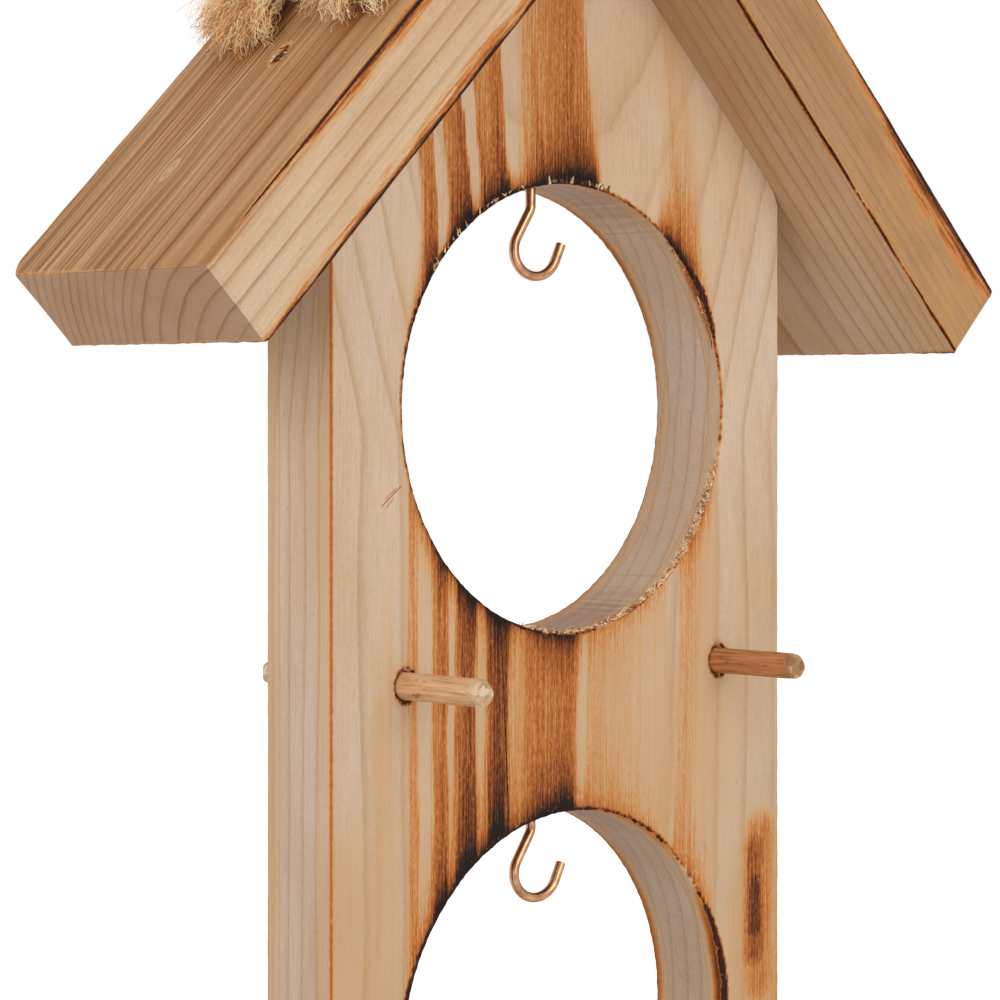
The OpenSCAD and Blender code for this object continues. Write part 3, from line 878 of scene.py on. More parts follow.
LEFT_BURN = edge_burn("torch marks on the left roof board", [
    (y0 + 0.8, THICK, [(-21, 1.1), (80, 0.95), (105, 0.75), (122, 0.5), (135, 0.3), (143, 0.0), (152, 0.0)]),
    (y0, 0.0, [(-21, 1.5), (70, 1.5), (95, 1.3), (115, 1.1), (135, 0.85), (152, 0.6)]),
    (y1, THICK, [(-21, 0.5), (60, 0.4), (110, 0.25), (152, 0.2)]),
    (ANY, 0.0, [(-35, 0.3), (-5, 0.22), (31.5, 0.22)]),
    (ANY, THICK, [(-35, 0.0), (-12, 0.0), (0, 0.08), (15, 0.14), (31.5, 0.14)])], LEFT_NAILS,
    [("across", y0 + 0.6, y0 + 1.2, 90.0, 20.0, 0.12)])
# On the right board the even brown under its upper end (the depth entry) is painted shade; the rest are torch
# marks.
RIGHT_BURN_AND_SHADE = edge_burn("torch marks and painted shade on the right roof board", [
    (y0, THICK, [(-21, 0.7), (40, 0.5), (75, 0.7), (95, 1.7), (112, 3.3), (132, 3.5), (145, 2.4),
                   (152, 1.5)]),
    (y0, 0.0, [(-21, 0.7), (60, 0.55), (85, 0.5), (100, 0.25), (110, 0.4), (125, 0.2), (152, 0.5)]),
    (y1, THICK, [(-21, 0.5), (60, 0.7), (110, 0.4), (152, 0.3)]),
    (ANY, 0.0, [(-35, 0.7), (-20, 0.3), (31.5, 0.25)]),
    (ANY, THICK, [(-35, 1.4), (-10, 0.5), (31.5, 0.4)])], RIGHT_NAILS,
    [("across", y0 + 0.6, y0 + 1.2, -10.0, 140.0, 0.2), ("depth", 0.4, 1.0, 100.0, 20.0, 0.16)])

# %% [markdown]
# ## The wood materials
# Planed softwood is dull: roughness about 0.6, and rougher where it is charred. Its relief is slight, because
# the hard autumn lines stand a few hundredths of a millimetre proud, and the fibres are finer still.
# Sawn ends soak up dirt and look darker and pinker. The tops of the roof boards have been out in the rain:
# their soft wood has worn down between fine raised lines, which run round a knot.

# %% Spruce materials
def spruce_material(name, origin, axes, rings, colours, burn_group, weathered=None, knot=None, front=None,
                    graded=None, under=None, walls=False):
    """rings: how it grew, by the grain group's input names. knot: (s, y, size). front: a tint of the front
    face. graded: a brightness along the board, painted light on the upright board. under: painted shade and
    light on the underside, along the board. walls: a tone on its holes' walls."""
    material, tree = new_material(name)
    place = add(tree, "Group", origin, *axes, node_tree=PLACES)
    across, depth, along = place.outputs[:3]
    bent_across = across
    if knot:
        s, y, size = knot
        spot = chain(tree, along, ("CombineXYZ", across, 0.0), ("VectorMath.SUBTRACT", (s, y, 0.0)),
                     ("VectorMath.MULTIPLY", (0.42, 1.0, 0.0)))
        from_knot = add(tree, "VectorMath.LENGTH", spot)
        push = chain(tree, from_knot, ("Math.MULTIPLY", 1 / (2.4 * size)), ("Math.POWER", 2.0),
                     ("Math.MULTIPLY", -1.0), "Math.EXPONENT", ("Math.MULTIPLY", -0.8))
        aside = chain(tree, across, ("Math.SUBTRACT", y), ("Math.MULTIPLY", push))
        bent_across = add(tree, "Math.ADD", across, aside)
    wood = add(tree, "Group", bent_across, depth, along, rings, node_tree=SPRUCE)
    early, late, tinge = (linear(c) for c in colours)
    tone = add(tree, "Mix", wood.outputs["Ring"], early, late, **BLEND)
    amount = add(tree, "MapRange", wood.outputs["Cloud"], 0.35, 0.7, 0.0, 0.75)
    colour = add(tree, "Mix", amount, tone, tinge, **TINT)
    height = add(tree, "Math.MULTIPLY", wood.outputs["Ring"], 0.5)

    facing = add(tree, "NewGeometry").outputs["True Normal"]
    endways = chain(tree, facing, ("VectorMath.DOT_PRODUCT", axes[2]), "Math.ABSOLUTE",
                    ("MapRange", 0.8, 0.95, 0.0, 1.0))
    colour = add(tree, "Mix", endways, colour, linear("#dccdc5"), **TINT)
    if front:
        fronting = chain(tree, facing, ("VectorMath.DOT_PRODUCT", (0, -1, 0)),
                         ("MapRange", 0.8, 0.95, 0.0, 1.0))
        colour = add(tree, "Mix", fronting, colour, linear(front), **TINT)
    # Painted shade and light on the underside: darker near the board's upper end, lighter towards the eave.
    if under:
        shade = add(tree, "MapRange", along, *under)
        shaded = add(tree, "VectorMath.SCALE", colour, shade)
        below = add(tree, "MapRange", depth, 0.4, 1.0, 1.0, 0.0)
        colour = add(tree, "Mix", below, colour, shaded, **BLEND)
    # A brightness along the board. On the upright board this is painted light: darker at its foot, lighter at
    # its top.
    if graded:
        grade = add(tree, "MapRange", along, *graded)
        colour = add(tree, "VectorMath.SCALE", colour, grade)
    if walls:
        within = chain(tree, depth, "Math.ABSOLUTE",
                       ("MapRange", THICK / 2 - 1.2, THICK / 2 - 0.6, 1.0, 0.0))
        fresh = add(tree, "VectorMath.MULTIPLY", colour, (1.0, 1.005, 1.07))
        colour = add(tree, "Mix", within, colour, fresh, **BLEND)

    if weathered:
        outside = add(tree, "MapRange", depth, THICK - 0.7, THICK - 0.1, 0.0, 1.0)
        lines_at = add(tree, "CombineXYZ", bent_across, 0.0, along)
        fine = streaks(tree, lines_at, (1.15, 0.0, 0.011), 2.0)
        broad = streaks(tree, lines_at, (0.16, 0.0, 0.007), 3.0)
        to_back = add(tree, "MapRange", across, -16.0, 2.0, 0.25, 1.0)
        raised = chain(tree, fine, ("MapRange", 0.36, 0.64, -0.34, 0.30), ("Math.MULTIPLY", to_back))
        ring_dark = add(tree, "Math.MULTIPLY", wood.outputs["Ring"], -0.28)
        lines = chain(tree, raised, ("Math.ADD", ring_dark), ("Math.ADD", 1.04))
        lined = add(tree, "VectorMath.SCALE", colour, lines)
        soot = add(tree, "MapRange", broad, 0.42, 0.68, 0.0, 1.0)
        dry, sooty = (linear(c) for c in weathered)
        tint = add(tree, "Mix", soot, dry, sooty, **BLEND)
        worn = add(tree, "VectorMath.MULTIPLY", lined, tint)
        colour = add(tree, "Mix", outside, colour, worn, **BLEND)
        ridges = chain(tree, raised, ("Math.MULTIPLY", outside), ("Math.MULTIPLY", 5.0))
        height = add(tree, "Math.ADD", height, ridges)
        if knot:
            eye = add(tree, "Math.ADD", wood.outputs["Fibre"], from_knot)
            eye = chain(tree, eye, ("Math.PINGPONG", 0.62), ("MapRange", 0.1, 0.5, 0.0, 1.0))
            eye = add(tree, "Mix", eye, linear("#ab8761"), linear("#c3a27a"), **BLEND)
            in_knot = add(tree, "MapRange", from_knot, size * 0.75, size * 1.1, 1.0, 0.0)
            colour = add(tree, "Mix", in_knot, colour, eye, **BLEND)

    streak = add(tree, "MapRange", wood.outputs["Fibre"], 0.32, 0.68, 0.86, 1.10)
    grained = add(tree, "VectorMath.SCALE", colour, streak)
    fleck_strength = add(tree, "Math.MULTIPLY", wood.outputs["Canal"], 0.45)
    flecks = add(tree, "Mix", fleck_strength, grained, linear("#7a5030"), **BLEND)
    marks = add(tree, "Group", across, depth, along, wood.outputs["Fibre"], node_tree=burn_group)
    burnt = add(tree, "Group", flecks, marks, node_tree=SCORCH)
    rough = add(tree, "MapRange", marks, 0.3, 1.0, 0.62, 0.85)
    height = add(tree, "Math.ADD", height, wood.outputs["Fibre"])
    char = add(tree, "Math.MULTIPLY", marks, -0.6)
    height = add(tree, "Math.ADD", height, char)
    bump = add(tree, "Bump", {"Height": height, "Strength": 0.6, "Distance": 0.00013})
    add(tree, "OutputMaterial", add(tree, "BsdfPrincipled", {
        "Base Color": burnt, "Roughness": rough, "Normal": bump, "IOR": 1.45, "Specular IOR Level": 0.22}))
    return material

# %% [markdown]
# Each board was cut from its own place in a tree, so each gets its own pith, ring widths and colours, in the
# frame of its own grain. The upright stands along Z, and the roof boards run down their slopes.

# %% The three boards' wood
X, Y, Z = (1, 0, 0), (0, 1, 0), (0, 0, 1)
LEFT_AXES, RIGHT_AXES = (Y, tuple(LEFT_OUT), tuple(LEFT_SLOPE)), (Y, tuple(RIGHT_OUT), tuple(RIGHT_SLOPE))
# Its grade is painted light: the upright board is drawn darker towards its foot and lighter towards its top.
body_wood = spruce_material(
    "planed_spruce_upright", (0, 0, 0), (X, Y, Z),
    {"Pith across": -2, "Pith depth": 118, "Wide ring": 4.3, "Narrow ring": 4.3, "Change radius": 60,
     "Wander": 0.7, "Lean": -0.135, "Lean from": 215},
    ("#cfb8a0", "#bb9a76", "#f4e4d0"), BODY_BURN, graded=(85.0, 300.0, 0.87, 1.09), walls=True)
left_wood = spruce_material(
    "planed_spruce_left_roof", tuple(APEX), LEFT_AXES,
    {"Pith across": -59, "Pith depth": -44.5, "Wide ring": 4.3, "Narrow ring": 2.2, "Change radius": 78,
     "Wander": 0.35},
    ("#cfb599", "#a67d54", "#f0dac0"), LEFT_BURN, weathered=("#dfc8aa", "#c29b6c"), knot=(121.4, 4.4, 1.6))
# Its under setting is painted shade and light: the underside is drawn darker near the ridge, where the
# upright board shades it, and lighter towards the eave.
right_wood = spruce_material(
    "planed_spruce_right_roof", tuple(APEX), RIGHT_AXES,
    {"Pith across": 20, "Pith depth": -62, "Wide ring": 3.2, "Narrow ring": 2.1, "Change radius": 60,
     "Wander": 0.5},
    ("#cbae90", "#a8754a", "#f0d8b8"), RIGHT_BURN_AND_SHADE, weathered=("#d9c2a8", "#bb9468"), knot=(64.0, 12.0, 3.0),
    front="#c9b6a2", graded=(30.0, 140.0, 1.0, 0.85), under=(20.0, 110.0, 0.68, 1.16))
for piece, material, slot, node in ((body_board, body_wood, "body_wood", "body_board"),
                                    (left_roof, left_wood, "roof_wood", "left_roof_board"),
                                    (right_roof, right_wood, "roof_wood", "right_roof_board")):
    piece.data.materials.append(material)
    fit(piece, "feeder", slot, node)

# %% [markdown]
# ## Brass cup hooks and the screw eye
# Both are bent from round brass wire. Wire keeps its thickness round a bend, so the honest way to draw it is
# to sweep a circle along the wire's own centre line, carrying the circle along without letting it turn.

# %% Sweep helper and hooks
def carried_frames(path):
    """For each point of a path: the direction along it and two directions across it that never spin."""
    last = len(path) - 1
    tangents = [(path[min(i + 1, last)] - path[max(i - 1, 0)]).normalized() for i in range(len(path))]
    side = tangents[0].orthogonal().normalized()
    frames = []
    for tangent in tangents:
        side = (side - tangent * side.dot(tangent)).normalized()
        frames.append((tangent, side, tangent.cross(side)))
    return frames


def wire_mesh(name, path, radii, sides=20):
    """A round bar along a path given in mm, closed with flat ends that have a small broken edge."""
    made = bmesh.new()
    frames = carried_frames(path)
    spots = [(0, 0.82)] + [(i, 1.0) for i in range(len(path))] + [(len(path) - 1, 0.82)]
    rings = []
    for order, (i, size) in enumerate(spots):
        along, u, v = frames[i]
        nudge = 0.12 if order == 1 else (-0.12 if order == len(spots) - 2 else 0.0)
        centre = path[i] + along * nudge
        rings.append([made.verts.new((centre + (u * math.cos(a) + v * math.sin(a)) * radii[i] * size) * MM)
                      for a in (math.tau * k / sides for k in range(sides))])
    skin(made, rings)
    made.faces.new(reversed(rings[0]))
    made.faces.new(rings[-1])
    bmesh.ops.recalc_face_normals(made, faces=made.faces)
    return finished(name, made)


def arc(centre, radius, start, stop, steps):
    """Points of an arc in the XZ plane, its angles in degrees from +X towards +Z."""
    angles = [math.radians(start + (stop - start) * i / steps) for i in range(steps + 1)]
    return [Vector((centre[0] + radius * math.cos(a), 0, centre[1] + radius * math.sin(a))) for a in angles]

# %% [markdown]
# A cup hook is one wire: a shank screwed up into the wood, a neck that leans, a bend of a good half turn and
# a straight tip. Both hooks have one path between them, turned a little about the shank.

# %% Cup hooks
WIRE_R = 1.15
HOOK_X, BEND_DROP, SHANK_IN, HOOK_TURN = -2.0, 14.5, 12.0, -10.0
NECK_LEAN, TIP_LEAN, TIP_LENGTH = math.radians(30), math.radians(23), 4.3


def hook_path():
    bend = arc((1.3, 0), 5.8, 150, 337, 40)
    neck_length = (3 * math.cos(NECK_LEAN) - 3 - bend[0].x) / math.sin(NECK_LEAN)
    shank_z = bend[0].z + neck_length * math.cos(NECK_LEAN) + 1.5
    upper_bend = arc((-3, shank_z), 3, 0, -30, 10)
    top = BEND_DROP + SHANK_IN
    shank = [Vector((0, 0, top - d)) for d in (0, 1.5, 3.0, 6.0, 10.0, 12.0)]
    tip = bend[-1] + Vector((math.sin(TIP_LEAN), 0, math.cos(TIP_LEAN))) * TIP_LENGTH
    return shank + upper_bend + bend + [bend[-1].lerp(tip, 0.5), tip]


def cup_hook(name, hole_z):
    turn = math.radians(HOOK_TURN)
    path = []
    for p in hook_path():
        around = Vector((p.x * math.cos(turn), p.x * math.sin(turn), p.z))
        path.append(around + Vector((HOOK_X, 0, hole_z + HOLE_R - BEND_DROP)))
    radii = [0.2, 0.7] + [WIRE_R] * (len(path) - 2)
    return wire_mesh(name, path, radii)


upper_hook = cup_hook("upper_cup_hook_brass", HOLE_Z[1])
lower_hook = cup_hook("lower_cup_hook_brass", HOLE_Z[0])

# %% [markdown]
# The eye at the ridge is the same wire: a pointed shank, one tight bend, and a ring that closes on the shank.

# %% Screw eye
RIDGE_Z = GABLE + THICK * math.sqrt(2)
EYE_Z = RIDGE_Z + 5 + 2 * WIRE_R
shank = [Vector((0, 0, RIDGE_Z - d)) for d in (38, 36.5, 35, 24, 12, 3, 0.6)]
foot_bend = [Vector((0.12, 0, EYE_Z - 6.75)), Vector((0.5, 0, EYE_Z - 6.35))]
ring = arc((0, EYE_Z), 6.15, -82, 262, 56)
eye_path = shank + foot_bend + ring
screw_eye = wire_mesh("ridge_screw_eye_brass", eye_path, [0.2, 0.7] + [WIRE_R] * (len(eye_path) - 2))

# %% [markdown]
# Bright brass wire is polished by the die it was drawn through. It is a metal, so its colour is in the
# reflection, and faint lengthways drawing marks keep it from looking like a mirror.

# %% Brass
brass, tree = new_material("drawn_brass_wire")
here = add(tree, "TexCoord").outputs["Object"]
handled = add(tree, "TexNoise", here, {"Scale": 420.0, "Detail": 3.0})
tarnish = add(tree, "ValToRGB", handled)
set_ramp(tarnish, [(0.3, "#8a5a36"), (0.5, "#a5744a"), (0.7, "#b88a5c")])
scratch = add(tree, "TexNoise", here, {"Scale": 2600.0, "Detail": 2.0})
polish = add(tree, "MapRange", handled, 0.3, 0.7, 0.13, 0.24)
bump = add(tree, "Bump", {"Height": scratch, "Strength": 0.1, "Distance": 0.00002})
add(tree, "OutputMaterial", add(tree, "BsdfPrincipled", tarnish, 1.0, polish, {
    "Normal": bump, "Coat Weight": 1.0, "Coat Roughness": 0.08}))
for piece, body, node in ((upper_hook, "upper_hook", "upper_hook"), (lower_hook, "lower_hook", "lower_hook"),
                          (screw_eye, "feeder", "ridge_screw_eye")):
    piece.data.materials.append(brass)
    fit(piece, body, "brass_wire", node)

# %% [markdown]
# ## Nails
# The CAD nails are the right shape already, so they stay and only get a finish: bright steel wire nails
# whose heads dulled under the torch.

# %% Nail steel
steel, tree = new_material("wire_nail_steel")
here = add(tree, "TexCoord").outputs["Object"]
spots = add(tree, "TexNoise", here, {"Scale": 900.0, "Detail": 4.0})
tint = add(tree, "ValToRGB", spots)
set_ramp(tint, [(0.35, "#33261f"), (0.55, "#4c4038"), (0.75, "#6b625b")])
dull = add(tree, "MapRange", spots, 0.3, 0.7, 0.55, 0.3)
add(tree, "OutputMaterial", add(tree, "BsdfPrincipled", tint, 1.0, dull))
for name, node in frame["nodes"].items():
    if name.endswith("_nail"):
        node.data.materials.clear()
        node.data.materials.append(steel)
print("nails:", sum(name.endswith("_nail") for name in frame["nodes"]))

# %% [markdown]
# ## Perches
# Each is a length of 6 mm dowel pushed through the board. Dowel is never quite round, and these were nipped
# to length, which crushed their ends into pale facets. So the rod is turned with a little noise in it, and
# its ends are drawn down in coarse uneven steps.

# %% Perches
PERCH_R, PERCH_HALF, NIPS = 3.0, 35.0, 5


def perch(name, x, z, seed):
    made = bmesh.new()
    sides = 36
    stations = [-PERCH_HALF + d for d in (0.0, 0.25, 0.6, 1.1, 1.8, 2.8)] + list(np.linspace(-31.5, 31.5, 43))
    stations += [PERCH_HALF - d for d in (2.8, 1.8, 1.1, 0.6, 0.25, 0.0)]
    rings = []
    for y in stations:
        left = PERCH_HALF - abs(y)
        ring = []
        for k in range(sides):
            a = math.tau * k / sides
            spot = Vector((math.cos(a), math.sin(a), 0))
            fine = noise.noise(Vector((spot.x * 2.2, spot.y * 2.2, y * 0.12 + seed)))
            which = Vector((int(k * NIPS / sides), seed, math.copysign(5, y)))
            bite = 0.5 + 0.5 * noise.cell(which)
            reach = 1.2 + 1.1 * (1 + noise.cell(which + Vector((9, 9, 9))))
            middle = 1 - 2 * abs(k * NIPS / sides % 1 - 0.5)
            crushed = max(0.0, 1 - left / reach) * (0.12 + 0.85 * bite * (0.35 + 0.65 * middle))
            crushed += max(0.0, 1 - left / 0.4) * 0.25
            r = PERCH_R - 0.05 - 0.05 * fine - crushed
            ring.append(made.verts.new(Vector((x + r * spot.x, y, z + r * spot.y)) * MM))
        rings.append(ring)
    skin(made, rings)
    for ring, end in ((rings[0], -1), (rings[-1], 1)):
        inner = ring
        for size in (0.72, 0.42, 0.16):
            drawn = []
            for vert in ring:
                p = vert.co * 1000
                wild = noise.noise(Vector(((p.x - x) * size * 0.7, (p.z - z) * size * 0.7, seed + 9 * end)))
                y = end * (PERCH_HALF - 0.9 * abs(wild) - 0.1)
                drawn.append(made.verts.new(Vector((x + (p.x - x) * size, y, z + (p.z - z) * size)) * MM))
            skin(made, [inner, drawn])
            inner = drawn
        made.faces.new(inner)
    bmesh.ops.recalc_face_normals(made, faces=made.faces)
    return finished(name, made)


PERCHES = ("lower_left_perch", "lower_right_perch", "upper_left_perch", "upper_right_perch")
perches = {}
for number, (node, (x, z)) in enumerate(zip(PERCHES, perch_spots)):
    perches[node] = perch(node + "_dowel", x, z, 2.0 + 3 * number)

# %% [markdown]
# Birch dowel has fine straight pores and almost no rings. The pair on the left stayed pale, the pair on the
# right was toasted by the flame, and every nipped end shows clean wood.

# %% Dowel material
dowel, tree = new_material("birch_dowel")
here = add(tree, "TexCoord").outputs["Object"]
split = add(tree, "SeparateXYZ", here)
pores = streaks(tree, here, (1600.0, 110.0, 1600.0), 3.0)
blotch = add(tree, "TexNoise", here, {"Scale": 160.0, "Detail": 3.0})
pale = add(tree, "ValToRGB", pores)
set_ramp(pale, [(0.3, "#b58253"), (0.5, "#cda073"), (0.7, "#d6b08a")])
browner_tone = add(tree, "ValToRGB", pores)
set_ramp(browner_tone, [(0.3, "#8c5128"), (0.5, "#ae7242"), (0.7, "#c08855")])
to_right = add(tree, "Math.GREATER_THAN", split, 0.0)
rod = add(tree, "Mix", to_right, pale, browner_tone, **BLEND)
specks = streaks(tree, here, (900.0, 330.0, 900.0), 2.0, 0.66, 0.74, 0.0, 0.7)
spotted = add(tree, "Mix", specks, rod, linear("#5e3a20"), **BLEND)
from_end = add(tree, "Math.ABSOLUTE", split.outputs[1])
wander = add(tree, "Math.MULTIPLY", blotch, 0.004)
from_end = add(tree, "Math.ADD", from_end, wander)
nipped = add(tree, "MapRange", from_end, 0.0347, 0.0352, 0.0, 0.85)
BITS = 480.0  # torn bits of 2 mm
shaken = add(tree, "VectorMath.MULTIPLY_ADD", blotch.outputs["Color"], (0.002, 0.002, 0.002), here)
torn_bits = add(tree, "TexVoronoi", shaken, {"Scale": BITS})
torn_bits = add(tree, "SeparateXYZ", torn_bits.outputs["Color"])
torn_end = add(tree, "ValToRGB", torn_bits)
set_ramp(torn_end, [(0.0, "#a07c56"), (0.4, "#ba9a74"), (0.75, "#ccb391"), (1.0, "#e8dac8")])
cracks = add(tree, "TexVoronoi", shaken, {"Scale": BITS}, feature="DISTANCE_TO_EDGE")
cracks = add(tree, "MapRange", cracks.outputs["Distance"], 0.01, 0.06, 0.45, 0.0)
cracked = add(tree, "Mix", cracks, torn_end, linear("#86603c"), **BLEND)
dulled = add(tree, "Mix", to_right, cracked, linear("#d9c4ae"), **TINT)
ended = add(tree, "Mix", nipped, spotted, dulled, **BLEND)
bump = add(tree, "Bump", {"Height": pores, "Strength": 0.7, "Distance": 0.00012})
add(tree, "OutputMaterial", add(tree, "BsdfPrincipled", ended, None, 0.62, {
    "Normal": bump}))
for node, piece in perches.items():
    piece.data.materials.append(dowel)
    fit(piece, "feeder", "dowel_wood", node)

# %% [markdown]
# ## The rope
# The hanging rope is three-strand jute, 8 mm thick. It runs through the eye, both legs come down the left
# slope, and they are tied together in an overhand knot whose two ends have frayed. A laid rope is three
# strands wound round one centre line, so each strand is a tube along a helix. The route is the CAD one.

# %% Rope route and laid rope
ROPE_R = 4.0
FRONT_LEG = [(-5.2, 0, 5.2), (-3, -8, 5), (3, -14, 4.8), (11, -16, 4.6), (21, -15.5, 4.4), (32, -13, 4.4),
             (43, -9.5, 4.8), (56, -6, 6.4)]
BACK_LEG = [(-5.2, 0, 5.2), (-3, 8, 5), (3, 14, 4.8), (12, 17, 4.6), (22, 17.5, 4.4), (33, 15, 4.4),
            (44, 11, 4.8), (56, 7, 6.4)]
FRONT_TAIL = [(74, -5, 6.5), (82, -9, 6.6), (91, -13, 6.4), (99, -17, 5.4)]
BACK_TAIL = [(74, 8, 6.5), (81, 13, 6.6), (88, 17, 6.6), (96, 20, 6.2), (104, 21, 5)]
KNOT_AT = (67, 1, 9.2)


def rope_point(p):
    """A point s mm down from the ridge's outer edge, at depth y, n mm above the left roof board."""
    s, y, n = p
    return Vector((-(s + n) * math.sqrt(0.5), y, RIDGE_Z - (s - n) * math.sqrt(0.5)))


def smooth(points, steps=8):
    """A smooth line through the points, by Catmull-Rom."""
    ends = [points[0] * 2 - points[1]] + list(points) + [points[-1] * 2 - points[-2]]
    line = []
    for a, b, c, d in zip(ends, ends[1:], ends[2:], ends[3:]):
        for i in range(steps):
            t = i / steps
            line.append(0.5 * (b * 2 + (c - a) * t + (a * 2 - b * 5 + c * 4 - d) * t * t
                               + (b * 3 - a - c * 3 + d) * t ** 3))
    return line + [points[-1]]


def length_of(line):
    return sum((b - a).length for a, b in zip(line, line[1:]))

# %% [markdown]
# Each strand's centre goes round the rope's line once every 24 mm, and a tube is drawn along it. The UV map
# counts millimetres along the strand, so that the material can draw the yarns on it.

# %% Laid rope
def laid_rope(made, uv, line, lay=24.0, sides=9):
    """Adds three strands, wound round the line once every `lay` mm, to a bmesh. u follows a strand in mm."""
    frames = carried_frames(line)
    walked = [0.0]
    for a, b in zip(line, line[1:]):
        walked.append(walked[-1] + (b - a).length)
    for strand in range(3):
        core, off = [], ROPE_R * 0.50
        for centre, far, (_, u, v) in zip(line, walked, frames):
            turn = math.tau * (far / lay + strand / 3)
            core.append(centre + (u * math.cos(turn) + v * math.sin(turn)) * off)
        rings = []
        for spot, far, (_, u, v) in zip(core, walked, carried_frames(core)):
            swell = 1 + 0.05 * noise.noise(Vector((far * 0.25, strand * 5.0, 0.0)))
            ring = []
            for k in range(sides):
                a = math.tau * k / sides
                point = spot + (u * math.cos(a) + v * math.sin(a)) * ROPE_R * 0.52 * swell
                ring.append((made.verts.new(point * MM), far, k / sides))
            rings.append(ring)
        for lower, upper in zip(rings, rings[1:]):
            for k in range(sides):
                corners = [lower[k], lower[(k + 1) % sides], upper[(k + 1) % sides], upper[k]]
                face = made.faces.new([c[0] for c in corners])
                for loop, (_, far, around) in zip(face.loops, corners):
                    closing = 1.0 if around == 0 and k == sides - 1 else 0.0
                    loop[uv].uv = (far, around + closing + strand * 3)
        for ring in (rings[0], rings[-1]):
            made.faces.new([c[0] for c in ring])


def rope_piece(name, line, **settings):
    made = bmesh.new()
    laid_rope(made, made.loops.layers.uv.new("lay"), line, **settings)
    bmesh.ops.recalc_face_normals(made, faces=made.faces)
    return finished(name, made, smooth_below=70)


front_line = smooth([rope_point(p) for p in FRONT_LEG])
back_line = smooth([rope_point(p) for p in BACK_LEG])
front_leg = rope_piece("rope_front_leg_jute", front_line)
back_leg = rope_piece("rope_back_leg_jute", back_line)
print("legs:", round(length_of(front_line), 1), "and", round(length_of(back_line), 1), "mm")

# %% [markdown]
# An overhand knot is a trefoil: one line that crosses itself three times. Pulled tight it fills out, so the
# trefoil is flattened to the height of two rope thicknesses and its strands press on each other.

# %% Knot
def knot_line():
    spots = []
    for i in range(73):
        t = math.tau * i / 72
        s = math.sin(t) + 2 * math.sin(2 * t)
        y = math.cos(t) - 2 * math.cos(2 * t)
        n = -math.sin(3 * t)
        spots.append(rope_point((KNOT_AT[0] + 3.7 * s, KNOT_AT[1] + 3.5 * y, KNOT_AT[2] + 4.1 * n)))
    return spots


knot = rope_piece("rope_knot_jute", knot_line(), lay=26.0)

# %% [markdown]
# Jute frays because its fibres are short and stiff. The frayed ends, and the hairs that stand off the legs
# and the knot, are all the same thing: many thin fibres that follow a guide line and stray from it. So one
# Geometry Nodes tree draws them. It samples the guide, offsets each fibre by a random angle and distance,
# bends it with noise, and sweeps a triangle along it. Every fibre also carries a random tone.

# %% Geometry Nodes: loose strands
def loose_strands(tree, seed, count, points):
    """Straight lines to be bent, and for each of their points: its line's number, its place along the line
    from 0 to 1, and five random numbers that the whole line shares."""
    start = add(tree, "GeometryNodePoints", count)
    straight = add(tree, "GeometryNodeCurvePrimitiveLine", (0, 0, 0), (0, 0, 1))
    straight = add(tree, "GeometryNodeResampleCurve", {"Curve": straight, "Count": points})
    many = chain(tree, start, ("GeometryNodeInstanceOnPoints", {"Instance": straight}),
                 "GeometryNodeRealizeInstances")
    which = add(tree, "GeometryNodeCurveOfPoint").outputs["Curve Index"]
    part = add(tree, "GeometryNodeSplineParameter").outputs["Factor"]
    chance = []
    for k in range(5):
        own = add(tree, "Math.ADD", seed, float(k))
        drawn = add(tree, "FunctionNodeRandomValue", {"ID": which, "Seed": own}, data_type="FLOAT")
        chance.append(drawn)
    return many, which, part, chance


def sweep_strands(tree, ask, strands, spots, tone, taper, sides):
    """Moves the strands' points to their spots, and sweeps a tapered profile along them."""
    placed = add(tree, "GeometryNodeSetPosition", strands, {"Position": spots})
    toned = add(tree, "GeometryNodeStoreNamedAttribute", placed, {"Name": "tone", "Value": tone},
                data_type="FLOAT", domain="CURVE")
    sized = add(tree, "GeometryNodeSetCurveRadius", toned, {"Radius": taper})
    profile = add(tree, "GeometryNodeCurvePrimitiveCircle", sides, {"Radius": ask["Thickness"]})
    swept = add(tree, "GeometryNodeCurveToMesh", sized, profile, {"Fill Caps": True})
    if "Scale" in swept.inputs:
        tree.links.new(taper.outputs[0], swept.inputs["Scale"])
    real = add(tree, "GeometryNodeRealizeInstances", swept)
    dressed = add(tree, "GeometryNodeSetMaterial", real, {"Material": ask["Material"]})
    add(tree, "NodeGroupOutput", dressed)
    return tree

# %% [markdown]
# In the fibre tree, a fibre takes up a share of the guide, begins at a random place on it, and keeps its own
# angle and distance. It strays more towards its tip, where the noise also bends it more.

